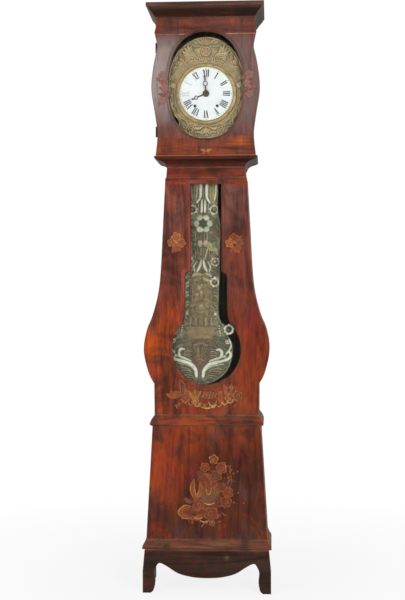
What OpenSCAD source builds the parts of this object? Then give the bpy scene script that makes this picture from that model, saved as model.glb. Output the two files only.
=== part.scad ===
// Violin-cased comtoise clock: plinth on feet, tapered base, fiddle trunk, hood, cage movement
// and a pressed-sheet pendulum. Millimetres, +Z up, the front faces -Y.
// The origin is on the floor at the middle of the footprint.

/* [Case heights] */
// Height of the feet and apron
apron_h = 170; // [150:5:190]
// Height of the moulded plinth above the apron
base_moulding_h = 36; // [32:1:44]
// Height of the tapered base panel
base_h = 445; // [420:5:480]
// Height of the moulding between base and trunk
waist_h = 43; // [38:1:48]
// Height of the fiddle-shaped trunk front
trunk_h = 931; // [900:5:960]
// Height of the plain board under the hood
neck_h = 39; // [30:1:50]
// Height of the cove moulding under the hood
hood_moulding_h = 44; // [40:1:52]
// Height of the hood
hood_h = 534; // [534:2:560]
// Height of the cornice
cornice_h = 58; // [50:1:70]

/* [Case widths and boards] */
// Overall depth, cornice front to back board
case_depth = 290; // [290:2:330]
// Thickness of side and back boards
board_t = 12; // [10:1:14]
// Thickness of the front boards
front_t = 20; // [19:1:23]
// Half width of the base panel at its foot
base_foot_half = 238; // [232:1:242]
// Half width of the base panel at its top
base_top_half = 212; // [208:1:216]
// Half width of the trunk at its foot
trunk_foot_half = 205; // [200:1:207]
// Half width of the trunk at the belly
belly_half = 247; // [240:1:250]
// Height of the belly above the trunk's foot
belly_z = 253; // [246:1:260]
// Half width of the trunk where the slender part begins
slender_half = 179; // [174:1:182]
// Height of the slender part's start above the trunk's foot
slender_z = 565; // [550:1:580]
// Half width of the trunk at its top
trunk_top_half = 159.5; // [158:0.5:163]
// Half width of the neck
neck_half = 153; // [149:1:155]
// Half width of the hood door at foot and top
hood_half = 194; // [191:1:197]
// Half width of the hood door at its waists
hood_waist_half = 188.5; // [187.5:0.5:189.5]
// Half width of the hood door at its belly
hood_belly_half = 212; // [206:1:214]
// Half width of the hood box behind the door
hood_box_half = 185; // [182:1:185]

/* [Openings] */
// Half width of the hood door's opening
hood_open_a = 145; // [138:1:147]
// Half height of the hood door's opening
hood_open_b = 208; // [200:1:212]
// Half width of the trunk window's slender part
window_half = 60; // [52:1:66]
// Half width of the trunk window's middle part
window_mid_half = 83; // [78:1:88]
// Half width of the trunk window's round part
window_round_a = 135; // [128:1:140]
// Half height of the trunk window's round part
window_round_b = 140; // [132:1:146]
// Thickness of the panes
glass_t = 3; // [2:0.5:4]

/* [Dial and hands] */
// Height of the dial's centre above the hood's foot
dial_up = 248; // [246:1:250]
// Radius of the enamel dial
dial_r = 105; // [100:1:108]
// Outer radius of the dial's bezel
bezel_r = 121; // [117:1:124]
// Length of the minute hand
minute_hand_l = 90; // [80:1:95]
// Length of the hour hand
hour_hand_l = 62; // [54:1:66]
// Clockwise angle of the minute hand from twelve
minute_hand_deg = -4; // [-180:1:180]
// Clockwise angle of the hour hand from twelve
hour_hand_deg = 248; // [0:1:360]

/* [Movement] */
// Sideways distance of each winding arbor from the middle
winding_x = 44; // [43.5:0.5:46]
// Drop of the winding arbors below the dial's centre
winding_drop = 48; // [46:1:50]
// Radius of the line drums
drum_r = 15.5; // [14:0.5:17]
// Radius of the driving weights
weight_r = 42; // [36:1:44]
// Height of the driving weights
weight_h = 130; // [110:5:150]
// Radius of the bell
bell_r = 60; // [52:1:64]
// Distance of the pallet arbor above the escape wheel
pallet_up = 27; // [26.5:0.5:29]

/* [Pendulum] */
// Radius of the painted bob sheet
bob_r = 129; // [118:1:131]
// Half width of the sheet's middle panel
sheet_half = 70; // [64:1:74]
// Half width of the sheet's fluted top
sheet_top_half = 57; // [50:1:60]
// Angle that the pendulum is stored at, to the viewer's left
swing_rest = 1.4; // [0:0.2:1.6]

/* [Hidden] */
$fn = 64;

// Levels from the floor up
base_z = apron_h + base_moulding_h;
waist_z = base_z + base_h;
trunk_z = waist_z + waist_h;
neck_z = trunk_z + trunk_h;
hood_moulding_z = neck_z + neck_h;
hood_z = hood_moulding_z + hood_moulding_h;
cornice_z = hood_z + hood_h;

// Planes from front to back
back_y = case_depth / 2;
board_back_y = back_y - board_t;
cornice_out = 35;
hood_front_y = -case_depth / 2 + cornice_out;
hood_back_y = hood_front_y + front_t;
base_front_y = hood_front_y + 5;
trunk_front_y = hood_front_y + 18;
trunk_back_y = trunk_front_y + front_t;
door_gap = 1;
fit = 0.05;
pane_gap = 0.3;
rebate = 8;
rim_step = 3;
hood_rim = 11;
trunk_rim = 16;
rebate_depth = 9;
top_rail = 25;

// Movement planes and levels
dial_z = hood_z + dial_up;
winding_z = dial_z - winding_drop;
dial_y = hood_back_y + 28;
pediment_t = 2;
dial_t = 3;
pendulum_y = dial_y + 16;
cage_y0 = dial_y + 25;
cage_back_gap = 28;
cage_y1 = board_back_y - cage_back_gap;
cage_half = 125;
seat_z = hood_z + 62;
seat_t = 20;
cage_z = seat_z + seat_t;
plate_t = 6;
cage_h = 276;
cage_top_z = cage_z + cage_h;
bar_y0 = cage_y0 + 7;
bar_t = 5;
bar_w = 18;
bar_y1 = cage_y1 - 10;
arbor_r = 2;
pivot_r = 1.5;
winding_r = 4;
line_r = 1.5;
line_x = winding_x + drum_r + line_r + 0.2;
line_y = cage_y0 + 77;
weight_z = 300;
hook_h = 40;

// Trains: four arbors in a straight line above each winding arbor
pinion_n = 12;
great_n = 96;
great_m = 0.85;
second_n = 84;
second_m = 0.6;
third_n = 84;
third_m = 0.5;
reach_1 = great_m * (great_n + pinion_n) / 2;
reach_2 = reach_1 + second_m * (second_n + pinion_n) / 2;
reach_3 = reach_2 + third_m * (third_n + pinion_n) / 2;
going_lean = 180 - acos(winding_x / reach_3);
strike_lean = 105;
escape_n = 30;
escape_r = 19;
pallet_z = winding_z + reach_3 * sin(going_lean) + pallet_up;
great_y = bar_y0 + 25;
second_y = bar_y0 + 12;
third_y = bar_y0 + 40;
escape_y = bar_y0 + 70;
wheel_t = 3;
great_t = 5;
pinion_over = 3;

// Motion work between the pendulum and the dial
cannon_n = 12;
minute_n = 36;
cannon_m = 1.25;
relay_n = 10;
hour_n = 40;
hour_m = 1.2;
motion_reach = cannon_m * (cannon_n + minute_n) / 2;
motion_y = dial_y + 8;
post_r = 4;
stud_r = 3;
cannon_r = 6;
hour_pipe_r = 8;

// Pendulum levels
bob_z = trunk_z + belly_z - 7;
sheet_top_z = neck_z + 13;
sheet_t = 2.8;
rod_half = 5;
rod_t = 4;
rod_ring_r = 15;

// Point on a smooth curve through four neighbours
function blend_point(a, b, c, d, t) =
    0.5 * (2 * b + (c - a) * t + (2 * a - 5 * b + 4 * c - d) * t * t
    + (3 * b - a - 3 * c + d) * t * t * t);
// Smooth curve through a list of points
function curve(p, n = 5) = [
    for (i = [0 : len(p) - 2])
        for (k = [0 : n - 1])
            blend_point(p[max(i - 1, 0)], p[i], p[i + 1], p[min(i + 2, len(p) - 1)], k / n),
    p[len(p) - 1]];
// Right half of an outline, closed by its mirror image
function both_sides(h) = concat(h, [for (i = [len(h) - 1 : -1 : 0]) [-h[i][0], h[i][1]]]);
// Upright board cut to an outline, between two planes
module slab(y0, y1) {
    translate([0, y1, 0]) rotate([90, 0, 0]) linear_extrude(y1 - y0) children();
}
// Round bar along Y
module rod(r, y0, y1, x = 0, z = 0) {
    translate([x, y0, z]) rotate([-90, 0, 0]) cylinder(r = r, h = y1 - y0);
}

// Outline of the fiddle trunk, from its foot up to the neck's top
function trunk_side(inset) = let(
        middle = [(slender_half + trunk_top_half) / 2, (slender_z + trunk_h) / 2],
        foot = [[trunk_foot_half, 0]],
        belly = curve([[trunk_foot_half + 1, belly_z - 131], [belly_half - 18, belly_z - 85],
            [belly_half, belly_z], [belly_half - 12, belly_z + 79], [belly_half - 35, belly_z + 137],
            [slender_half + 11, belly_z + 221], [slender_half, slender_z],
            middle, [trunk_top_half, trunk_h]]))
    [for (p = concat(foot, belly)) [p[0] - inset, trunk_z + p[1]]];
function neck_side(inset) = [[neck_half + 3 - inset, neck_z], [neck_half - inset, hood_moulding_z]];

// Outline of the violin hood door
function door_side() = let(
        low = curve([[hood_half + 2, 0], [hood_waist_half + 1, 57], [hood_waist_half, 96],
            [hood_belly_half - 13, 172], [hood_belly_half, 263], [hood_belly_half - 9, 352],
            [hood_waist_half + 1, 414], [hood_waist_half, 432], [hood_half + 5, 481]]),
        high = [[hood_half, 500], [hood_half - 1, hood_h - 2 * door_gap]])
    [for (p = concat(low, high)) [p[0], hood_z + door_gap + p[1]]];

// Opening of the hood door, a full rounded oval
module hood_opening(grow) {
    fullness = 2 / 2.3;
    middle_z = hood_z + 276;
    polygon([for (a = [0 : 5 : 355]) [
        (hood_open_a + grow) * sign(cos(a)) * pow(abs(cos(a)), fullness),
        middle_z + (hood_open_b + grow) * sign(sin(a)) * pow(abs(sin(a)), fullness)]]);
}

// Keyhole opening of the trunk front
module trunk_window(grow) {
    round_z = trunk_z + belly_z + 5;
    step_z = trunk_z + slender_z - 4;
    step_r = window_mid_half - window_half;
    bowl = [for (a = [-88 : 8 : 40])
        [(window_round_a + grow) * cos(a), round_z + (window_round_b + grow) * sin(a)]];
    middle = [[window_mid_half + 6 + grow, round_z + 111], [window_mid_half + grow, round_z + 144]];
    step = [for (a = [0 : 15 : 90])
        [window_half + grow + step_r * cos(a), step_z + grow - step_r + step_r * sin(a)]];
    top = [[window_half + grow, neck_z - top_rail + grow]];
    polygon(both_sides(concat(bowl, middle, step, top)));
}

// Moulding that returns along both sides, mitred at the front corners.
// The profile's points are [how far it stands out, height above the moulding's foot].
module moulding(profile, z, half, front_y, front_share, inner_half, inner_y) {
    foot = profile[0][1];
    crown = profile[len(profile) - 1][1];
    difference() {
        intersection() {
            slab(front_y - 60, board_back_y)
                polygon(both_sides([for (p = profile) [half + p[0], z + p[1]]]));
            translate([-2 * half, 0, 0]) rotate([90, 0, 90]) linear_extrude(4 * half)
                polygon(concat([for (p = profile) [front_y - front_share * p[0], z + p[1]]],
                    [[board_back_y, z + crown], [board_back_y, z + foot]]));
        }
        translate([-inner_half, inner_y, z + foot - 1])
            cube([2 * inner_half, board_back_y - inner_y + 1, crown - foot + 2]);
    }
}

apron_half = base_foot_half + 5;
// Front apron with an ogee cut-out between two bracket feet
module front_apron() {
    foot_half = apron_half + 8;
    toe = foot_half - 35;
    cut = curve([[toe + 4, 0], [toe - 8, 12], [toe - 14, 45], [toe - 11, 80], [toe - 18, 102],
        [toe - 31, 117], [toe - 58, 106], [toe - 105, 77], [toe - 160, 63], [10, 59.5]], 4);
    color("#3b2016") slab(base_front_y - 20, base_front_y)
        polygon(both_sides(concat(
            [for (i = [len(cut) - 1 : -1 : 0]) cut[i]],
            [[foot_half, 0], [foot_half, apron_h / 2], [apron_half, apron_h]])));
}

// Side aprons, each with a foot at both ends
module side_aprons() {
    apron_t = 20;
    outer = apron_half;
    y0 = base_front_y;
    y1 = board_back_y;
    foot_l = 45;
    color("#3b2016") for (side = [-1, 1])
        translate([side > 0 ? outer - apron_t : -outer, 0, 0]) rotate([90, 0, 90])
            linear_extrude(apron_t) polygon(concat(
                [[y0, 0], [y0 + foot_l, 0]],
                curve([[y0 + foot_l + 6, 40], [y0 + foot_l + 16, 90], [y0 + foot_l + 45, 112],
                    [y1 - foot_l - 45, 112], [y1 - foot_l - 16, 90], [y1 - foot_l - 6, 40]], 4),
                [[y1 - foot_l, 0], [y1, 0], [y1, apron_h], [y0, apron_h]]));
}

// Plinth moulding that the base stands in
module base_moulding() {
    lip = base_moulding_h - 4;
    profile = concat([[15, 0], [15, 8]],
        curve([[14, 11], [11, 17], [6, 23], [4, lip - 2]], 4), [[2, lip], [2, base_moulding_h]]);
    color("#54291a") moulding(profile, apron_h, base_foot_half, base_front_y, 1,
        base_foot_half - 20, base_front_y + front_t);
}

// Floor board inside the plinth
module base_floor() {
    color("#6b4a30") translate([-(base_foot_half - 20), base_front_y + front_t, apron_h])
        cube([2 * (base_foot_half - 20), board_back_y - base_front_y - front_t, 16]);
}

// Tapered front panel of the base
module base_front_panel() {
    color("#6a2a18") slab(base_front_y, base_front_y + front_t)
        polygon(both_sides([[base_foot_half, base_z], [base_top_half, waist_z]]));
}

// Leaning side panels of the base
module base_side_panels() {
    color("#5a2517") slab(base_front_y + front_t, board_back_y) for (side = [-1, 1])
        polygon([[side * base_foot_half, base_z], [side * base_top_half, waist_z],
            [side * (base_top_half - 16), waist_z], [side * (base_foot_half - 16), base_z]]);
}

// Moulding between base and trunk
module waist_moulding() {
    lip = waist_h - 6;
    profile = concat([[12, 0], [12, 3], [18, 4], [18, 10]],
        curve([[17, 13], [14, 20], [8, lip - 5]], 4), [[5, lip - 4], [5, lip - 1]],
        [[2, lip], [2, lip + 3], [0, lip + 4], [0, waist_h]]);
    color("#5a2517") moulding(profile, waist_z, trunk_foot_half, trunk_front_y, 1,
        trunk_foot_half - 17, trunk_back_y);
}

// Curved trunk sides of glued blocks, running up inside the hood to carry the seat board
module trunk_side_panels() {
    glue = 0.1;
    cuts = [belly_z - 131, belly_z - 85, belly_z - 40, belly_z, belly_z + 40, belly_z + 79,
        belly_z + 110, belly_z + 137, belly_z + 180, belly_z + 221, slender_z];
    cheek = [neck_half, seat_z];
    outer = concat(trunk_side(0), neck_side(0), [cheek]);
    inner = concat(trunk_side(board_t), neck_side(board_t), [[neck_half - board_t, seat_z]]);
    right = concat(outer, [for (i = [len(inner) - 1 : -1 : 0]) inner[i]]);
    color("#5a2517") slab(trunk_back_y, board_back_y) for (side = [-1, 1]) difference() {
        polygon([for (p = right) [side * p[0], p[1]]]);
        for (z = cuts) translate([-belly_half - 1, trunk_z + z - glue / 2])
            square([2 * belly_half + 2, glue]);
    }
}

// Back boards of base, trunk and hood
module base_back_board() {
    tail = 60;
    color("#7a5a3c") slab(board_back_y, back_y) polygon(both_sides([
        [base_foot_half, apron_h - tail], [base_foot_half, base_z], [base_top_half, waist_z],
        [trunk_foot_half, waist_z], [trunk_foot_half, trunk_z]]));
}
module trunk_back_board() {
    color("#7a5a3c") slab(board_back_y, back_y)
        polygon(both_sides(concat(trunk_side(0), neck_side(0), [[neck_half, hood_z]])));
}
module hood_back_board() {
    color("#7a5a3c") slab(board_back_y, back_y)
        polygon(both_sides([[hood_box_half, hood_z], [hood_box_half, cornice_z]]));
}

// Plain board under the hood
module neck_board() {
    color("#5e2716") slab(trunk_front_y, trunk_back_y) polygon(both_sides(neck_side(0)));
}

// Cove moulding that carries the hood
module hood_base_moulding() {
    lip = hood_moulding_h - 14;
    profile = concat([[0, 0], [3, 1], [3, 4]],
        curve([[4, 5], [9, lip - 14], [20, lip - 6], [38, lip]], 4),
        [[41, lip + 1], [46, lip + 3]], [[49, lip + 9], [49, hood_moulding_h]]);
    color("#5a2517") moulding(profile, hood_moulding_z, neck_half, trunk_front_y, 0.48,
        neck_half, trunk_back_y);
}

// Hood sides behind the door
module hood_side_panels() {
    color("#5a2517") for (side = [-1, 1])
        translate([side > 0 ? hood_box_half - board_t : -hood_box_half, hood_back_y + 4, hood_z])
            cube([board_t, board_back_y - hood_back_y - 4, hood_h]);
}

// Flat roof of the hood, inside the cornice
module hood_top_board() {
    color("#6b4a30") translate([-hood_box_half, hood_front_y + 2, cornice_z])
        cube([2 * hood_box_half, board_back_y - hood_front_y - 2, board_t]);
}

// Crown moulding of the hood
module cornice() {
    out = cornice_out;
    lip = cornice_h - 14;
    profile = concat([[0, 0], [2, 1], [2, 5]],
        curve([[4, 7], [14, 21], [26, 35], [out - 3, lip]], 4),
        [[out, lip + 1], [out, cornice_h]]);
    color("#4a2216") moulding(profile, cornice_z, hood_half, hood_front_y, 1,
        hood_box_half, hood_front_y + 2);
}

// Board that the movement stands on, with holes for the weight lines
module seat_board() {
    color("#6b4a30") difference() {
        translate([-neck_half, cage_y0 - 1, seat_z])
            cube([2 * neck_half, board_back_y - cage_y0 - 7, seat_t]);
        line_holes(seat_z);
    }
}
module line_holes(z) {
    for (side = [-1, 1])
        translate([side * line_x, line_y, z - 1]) cylinder(r = 7, h = seat_t + 2);
}

// Hood door with its rebate for the pane
module hood_door() {
    color("#5e2818") difference() {
        slab(hood_front_y, hood_back_y) polygon(both_sides(door_side()));
        slab(hood_front_y - 1, hood_back_y + 1) hood_opening(0);
        slab(hood_front_y - 1, hood_front_y + rim_step) hood_opening(hood_rim);
        slab(hood_front_y - 1, hood_front_y + 2 * rim_step) hood_opening(hood_rim / 2);
        slab(hood_back_y - rebate_depth, hood_back_y + 1) hood_opening(rebate);
    }
}
module hood_door_glass() {
    y0 = hood_back_y - rebate_depth;
    color([0.8, 0.85, 0.85, 0.3]) slab(y0, y0 + glass_t) hood_opening(rebate - pane_gap);
}
module hood_door_bead() {
    color("#4a2015") slab(hood_back_y - rebate_depth + glass_t, hood_back_y - 1) difference() {
        hood_opening(rebate - pane_gap);
        hood_opening(1);
    }
}

// Door hinges: an axis just outside the door's two waists
hinge_x = -hood_waist_half - 5;
hinge_y = hood_back_y + 3;
hinge_zs = [hood_z + 97, hood_z + 425];
knuckle_r = 4;
hinge_pin_r = 2;
hinge_h = 40;
leaf_t = 1.6;
module door_hinge_leaves() {
    knuckle_h = hinge_h / 3;
    color("#8a7a4a") for (z = hinge_zs) difference() {
        union() {
            for (end = [-1, 1]) translate([0, 0, z + end * knuckle_h - knuckle_h / 2]) {
                translate([hinge_x, hinge_y, 0]) cylinder(r = knuckle_r, h = knuckle_h);
                translate([hinge_x, hood_back_y, 0]) cube([22, leaf_t, knuckle_h]);
            }
            translate([hinge_x + 7, hood_back_y, z - hinge_h / 2]) cube([15, leaf_t, hinge_h]);
        }
        translate([hinge_x, hinge_y, z - hinge_h]) cylinder(r = hinge_pin_r + fit, h = 2 * hinge_h);
    }
}
module case_hinge_leaves() {
    knuckle_h = hinge_h / 3 - 0.4;
    side_x = -hood_box_half;
    leaf_y = hood_back_y + 5;
    color("#8a7a4a") for (z = hinge_zs) union() {
        translate([hinge_x, hinge_y, z - knuckle_h / 2]) cylinder(r = knuckle_r, h = knuckle_h);
        translate([hinge_x, hinge_y, z - hinge_h / 2 - 1]) cylinder(r = hinge_pin_r, h = hinge_h + 2);
        translate([hinge_x, hinge_y + 1, z - knuckle_h / 2])
            cube([side_x - hinge_x, knuckle_r - 1, knuckle_h]);
        translate([side_x - leaf_t, leaf_y, z - hinge_h / 2]) cube([leaf_t, 22, hinge_h]);
    }
}

// Fiddle-shaped trunk front, lifted off forwards
module trunk_front() {
    color("#7a2c16") difference() {
        slab(trunk_front_y, trunk_back_y) polygon(both_sides(concat(
            [for (p = trunk_side(0)) if (p[1] < neck_z - 1) p],
            [[trunk_top_half, neck_z - door_gap / 2]])));
        slab(trunk_front_y - 1, trunk_back_y + 1) trunk_window(0);
        slab(trunk_front_y - 1, trunk_front_y + rim_step) trunk_window(trunk_rim);
        slab(trunk_front_y - 1, trunk_front_y + 2 * rim_step) trunk_window(trunk_rim / 2);
        slab(trunk_back_y - rebate_depth, trunk_back_y + 1) trunk_window(rebate);
    }
}
module trunk_glass() {
    y0 = trunk_back_y - rebate_depth;
    color([0.8, 0.85, 0.85, 0.3]) slab(y0, y0 + glass_t) trunk_window(rebate - pane_gap);
}
module trunk_bead() {
    color("#8a2f18") slab(trunk_back_y - rebate_depth + glass_t, trunk_back_y - 1) difference() {
        trunk_window(rebate - pane_gap);
        trunk_window(1);
    }
}

// Iron cage of the movement
module cage_bottom_plate() {
    color("#4a4640") difference() {
        translate([-cage_half, cage_y0, cage_z]) cube([2 * cage_half, cage_y1 - cage_y0, plate_t]);
        line_holes(cage_z);
    }
}
module cage_top_plate() {
    post = 5;
    color("#4a4640") difference() {
        union() {
            translate([-cage_half, cage_y0, cage_top_z])
                cube([2 * cage_half, cage_y1 - cage_y0, plate_t]);
            for (y = [hammer_y - 12, hammer_y + 8])
                translate([hammer_x - 6, y, cage_top_z + plate_t]) cube([12, 4, 20]);
        }
        translate([hammer_x - 9, hammer_y - 6, cage_top_z - 1]) cube([18, 12, plate_t + 2]);
        rod(2 + fit, hammer_y - 13, hammer_y + 13, hammer_x, hammer_z);
        translate([0, bell_y, cage_top_z - 1]) cylinder(r = post, h = plate_t + 2);
    }
}
module cage_pillars() {
    w = 10;
    color("#4a4640") for (x = [-cage_half, cage_half - w]) for (y = [cage_y0, cage_y1 - w])
        translate([x, y, cage_z + plate_t]) cube([w, w, cage_h - plate_t]);
}

// Place of one arbor of a train, counted from the winding arbor
function arbor_at(side, lean, reach) =
    [side * winding_x + reach * cos(lean), winding_z + reach * sin(lean)];
reaches = [0, reach_1, reach_2, reach_3];

// Leaning bars that carry the pivots, one pair for each train
module train_bars() {
    color("#57524a") for (y = [bar_y0, bar_y1]) {
        train_bar(1, going_lean, y);
        train_bar(-1, strike_lean, y);
    }
}
module train_bar(side, lean, y) {
    intersection() {
        difference() {
            translate([side * winding_x, y, winding_z]) rotate([0, -lean, 0])
                translate([-cage_h, 0, -bar_w / 2]) cube([2 * cage_h, bar_t, bar_w]);
            for (i = [0 : 3]) let(p = arbor_at(side, lean, reaches[i]))
                rod(fit + (i == 0 ? winding_r : pivot_r), y - 1, y + bar_t + 1, p[0], p[1]);
        }
        translate([-cage_half, y, cage_z + plate_t])
            cube([2 * cage_half, bar_t, cage_h - plate_t]);
    }
}

// Post for the hands, with the stud that the minute wheel turns on
module centre_post() {
    y0 = cage_y0 + 1;
    color("#6a6458") union() {
        translate([-8, y0, cage_z + plate_t]) cube([16, bar_t, dial_z - cage_z - plate_t + 10]);
        translate([0, y0, dial_z - 7]) cube([motion_reach + 6, bar_t, 14]);
        rod(post_r, dial_y - 15, y0 + 1, 0, dial_z);
        rod(stud_r, motion_y - 5, y0 + 1, motion_reach, dial_z);
    }
}

// Cocks that hold the pallet arbor and the pendulum's hook pin
module pendulum_cocks() {
    drop = cage_top_z - pallet_z + 12;
    hook_y = pendulum_y - 8;
    color("#57524a") {
        for (y = [bar_y0 + 6, bar_y1 - 7]) difference() {
            translate([-8, y, cage_top_z - drop]) cube([16, 5, drop]);
            rod(arbor_r + fit, y - 1, y + 6, 0, pallet_z);
        }
        union() {
            translate([-10, hook_y - 4, cage_top_z - drop]) cube([20, 4, drop + plate_t]);
            translate([-10, hook_y - 4, cage_top_z]) cube([20, cage_y0 - hook_y + 4, plate_t]);
            rod(3, hook_y - 1, pendulum_y + 2, 0, pallet_z);
        }
    }
}

// Pressed brass dial surround on four feet: lower panel, ears beside the dial, arched crest
panel_half = 108;
crest_half = 149;
crest_spring = dial_z + 54;
crest_rise = 171;
ear_drop = 84;
module dial_pediment() {
    foot_z = seat_z + 4;
    ear_z = dial_z - ear_drop;
    ear = curve([[panel_half, ear_z], [crest_half - 23, ear_z + 14], [crest_half - 8, ear_z + 45],
        [crest_half, ear_z + ear_drop]], 4);
    color("#a8935a") union() {
        difference() {
            slab(dial_y, dial_y + pediment_t) polygon(both_sides(concat([[panel_half, foot_z]], ear,
                [for (a = [0 : 6 : 84]) [crest_half * cos(a), crest_spring + crest_rise * sin(a)]])));
            rod(hour_pipe_r + 2, dial_y - 1, dial_y + pediment_t + 1, 0, dial_z);
            for (side = [-1, 1]) rod(7, dial_y - 1, dial_y + pediment_t + 1,
                side * winding_x, winding_z);
        }
        for (x = [-1, 1]) for (z = [dial_z - 30, dial_z + 60])
            rod(4, dial_y + pediment_t, cage_y0, x * (cage_half - 7), z);
    }
}
module dial_bezel() {
    color("#9a8650") translate([0, dial_y, dial_z]) rotate([90, 0, 0]) rotate_extrude($fn = 96)
        polygon(concat([[dial_r + 0.2, 0]], [[bezel_r, 0], [bezel_r, 3]],
            curve([[bezel_r - 2, 6], [bezel_r - 8, 8], [dial_r + 3, 6], [dial_r + 0.2, 4]], 4)));
}
module enamel_dial() {
    color("#f2efe6") difference() {
        rod(dial_r, dial_y - dial_t, dial_y, 0, dial_z);
        rod(hour_pipe_r + 2, dial_y - dial_t - 1, dial_y + 1, 0, dial_z);
        for (side = [-1, 1]) rod(6, dial_y - dial_t - 1, dial_y + 1, side * winding_x, winding_z);
    }
}

// Bell on its stand, with a hammer beside it
bell_y = cage_y0 + 72;
bell_z = cage_top_z + 28;
bell_h = 56;
bell_t = 3;
hammer_x = -bell_r - 28;
hammer_y = bell_y;
hammer_z = cage_top_z + plate_t + 14;
hammer_r = 8;
module bell_stand() {
    color("#57524a") translate([0, bell_y, 0]) union() {
        translate([0, 0, cage_top_z]) cylinder(r = 5 - fit, h = bell_z + bell_h - bell_t - cage_top_z);
        translate([0, 0, cage_top_z + plate_t]) cylinder(r = 9, h = 5);
        translate([0, 0, bell_z + bell_h - bell_t]) cylinder(r = 3, h = 16);
        translate([0, 0, bell_z + bell_h]) cylinder(r = 6, h = 6);
    }
}
module bell() {
    color("#b09a62") translate([0, bell_y, bell_z]) rotate_extrude($fn = 72) polygon(concat(
        curve([[bell_r, 0], [bell_r - 2, 14], [bell_r - 10, 34], [bell_r - 26, 49], [12, bell_h]], 4),
        [[3.1, bell_h], [3.1, bell_h - bell_t]],
        curve([[12, bell_h - bell_t], [bell_r - 28, 46], [bell_r - 12.5, 32.5], [bell_r - 5, 13.5],
            [bell_r - bell_t, 0]], 4)));
}
module hammer() {
    head_x = -bell_r - hammer_r - 2;
    head_z = bell_z + 8;
    color("#6a6458") union() {
        rod(2, hammer_y - 12, hammer_y + 12, hammer_x, hammer_z);
        rod(5, hammer_y - 7.5, hammer_y + 7.5, hammer_x, hammer_z);
        translate([hammer_x - 1.5, hammer_y - 3, hammer_z]) cube([3, 6, head_z - hammer_z]);
        translate([hammer_x - 1.5, hammer_y - 3, head_z - 3]) cube([head_x - hammer_x, 6, 6]);
        translate([head_x, hammer_y, head_z - 8]) cylinder(r = hammer_r, h = 16);
        translate([hammer_x - 1.5, hammer_y - 3, hammer_z - 50]) cube([3, 6, 50]);
    }
}

// Flat gear: straight-sided teeth with room to run
module gear(n, m, turn) {
    tooth_share = 0.4;
    lean = tan(20);
    above = 0.8 * m;
    below = 1.1 * m;
    r = n * m / 2;
    half = tooth_share * PI * m / 2;
    tip = (half - above * lean) / (r + above) * 180 / PI;
    root = (half + below * lean) / (r - below) * 180 / PI;
    polygon([for (i = [0 : n - 1]) for (c = [[-root, r - below], [-tip, r + above],
        [tip, r + above], [root, r - below]])
            let(a = turn + i * 360 / n + c[0]) [c[1] * cos(a), c[1] * sin(a)]]);
}
// Wheel crossed out to spokes
module spoked_gear(n, m, turn, hub, bore) {
    rim = n * m / 2 - 4 * m - 1;
    spokes = 5;
    difference() {
        gear(n, m, turn);
        difference() {
            circle(rim);
            circle(hub);
            for (i = [0 : spokes - 1]) rotate(i * 360 / spokes)
                translate([0, -hub / 4]) square([rim + 1, hub / 2]);
        }
        circle(bore);
    }
}
// Arbor with thinner pivots at its ends
module arbor(p) {
    rod(arbor_r, bar_y0 + bar_t + 0.5, bar_y1 - 0.5, p[0], p[1]);
    rod(pivot_r, bar_y0, bar_y1 + bar_t, p[0], p[1]);
}
// Arbor with a pinion driven from below and a wheel that drives the next arbor
module train_arbor(p, lean, pinion_m, pinion_y, driver_t) {
    union() {
        arbor(p);
        translate([p[0], 0, p[1]]) slab(pinion_y - pinion_over, pinion_y + driver_t + pinion_over)
            gear(pinion_n, pinion_m, lean + 180 + 180 / pinion_n);
        children();
    }
}
module drum(side) {
    x = side * winding_x;
    flange = drum_r + 6.5;
    y0 = great_y + great_t + 0.5;
    y1 = bar_y1 - 10;
    union() {
        rod(winding_r, dial_y + 6, bar_y1 + bar_t, x, winding_z);
        translate([x - 2.8, dial_y - 8, winding_z - 2.8]) cube([5.6, 15, 5.6]);
        rod(drum_r, y0, y1, x, winding_z);
        rod(flange, y0, y0 + 3, x, winding_z);
        rod(flange, y1 - 3, y1, x, winding_z);
    }
}
module great_wheel(side, lean) {
    translate([side * winding_x, 0, winding_z]) slab(great_y, great_y + great_t)
        spoked_gear(great_n, great_m, lean, 11, winding_r + fit);
}
module second_wheel(side, lean, pins) {
    p = arbor_at(side, lean, reach_1);
    pin_r = second_n * second_m / 2 - 2;
    train_arbor(p, lean, great_m, great_y, great_t) {
        translate([p[0], 0, p[1]]) slab(second_y, second_y + wheel_t)
            spoked_gear(second_n, second_m, lean, 7, arbor_r - 0.5);
        if (pins > 0) for (i = [0 : pins - 1]) rod(1.2, second_y + 1, second_y + wheel_t + 5,
            p[0] + pin_r * cos(i * 360 / pins), p[1] + pin_r * sin(i * 360 / pins));
    }
}
module third_wheel(side, lean) {
    p = arbor_at(side, lean, reach_2);
    train_arbor(p, lean, second_m, second_y, wheel_t)
        translate([p[0], 0, p[1]]) slab(third_y, third_y + wheel_t)
            spoked_gear(third_n, third_m, lean, 6, arbor_r - 0.5);
}
module weight(side) {
    color("#3a3a3c") translate([side * line_x, line_y, weight_z]) rotate_extrude() polygon(concat(
        [[0, 0], [weight_r - 4, 0], [weight_r, 4], [weight_r, weight_h - 10]],
        curve([[weight_r, weight_h - 10], [weight_r - 6, weight_h], [16, weight_h + 6],
            [5, weight_h + 12], [4, weight_h + hook_h]], 4), [[0, weight_h + hook_h]]));
}
module line(side) {
    z0 = weight_z + weight_h + hook_h;
    color("#8a7a5a") translate([side * line_x, line_y, z0]) cylinder(r = line_r, h = winding_z - z0);
}

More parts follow.
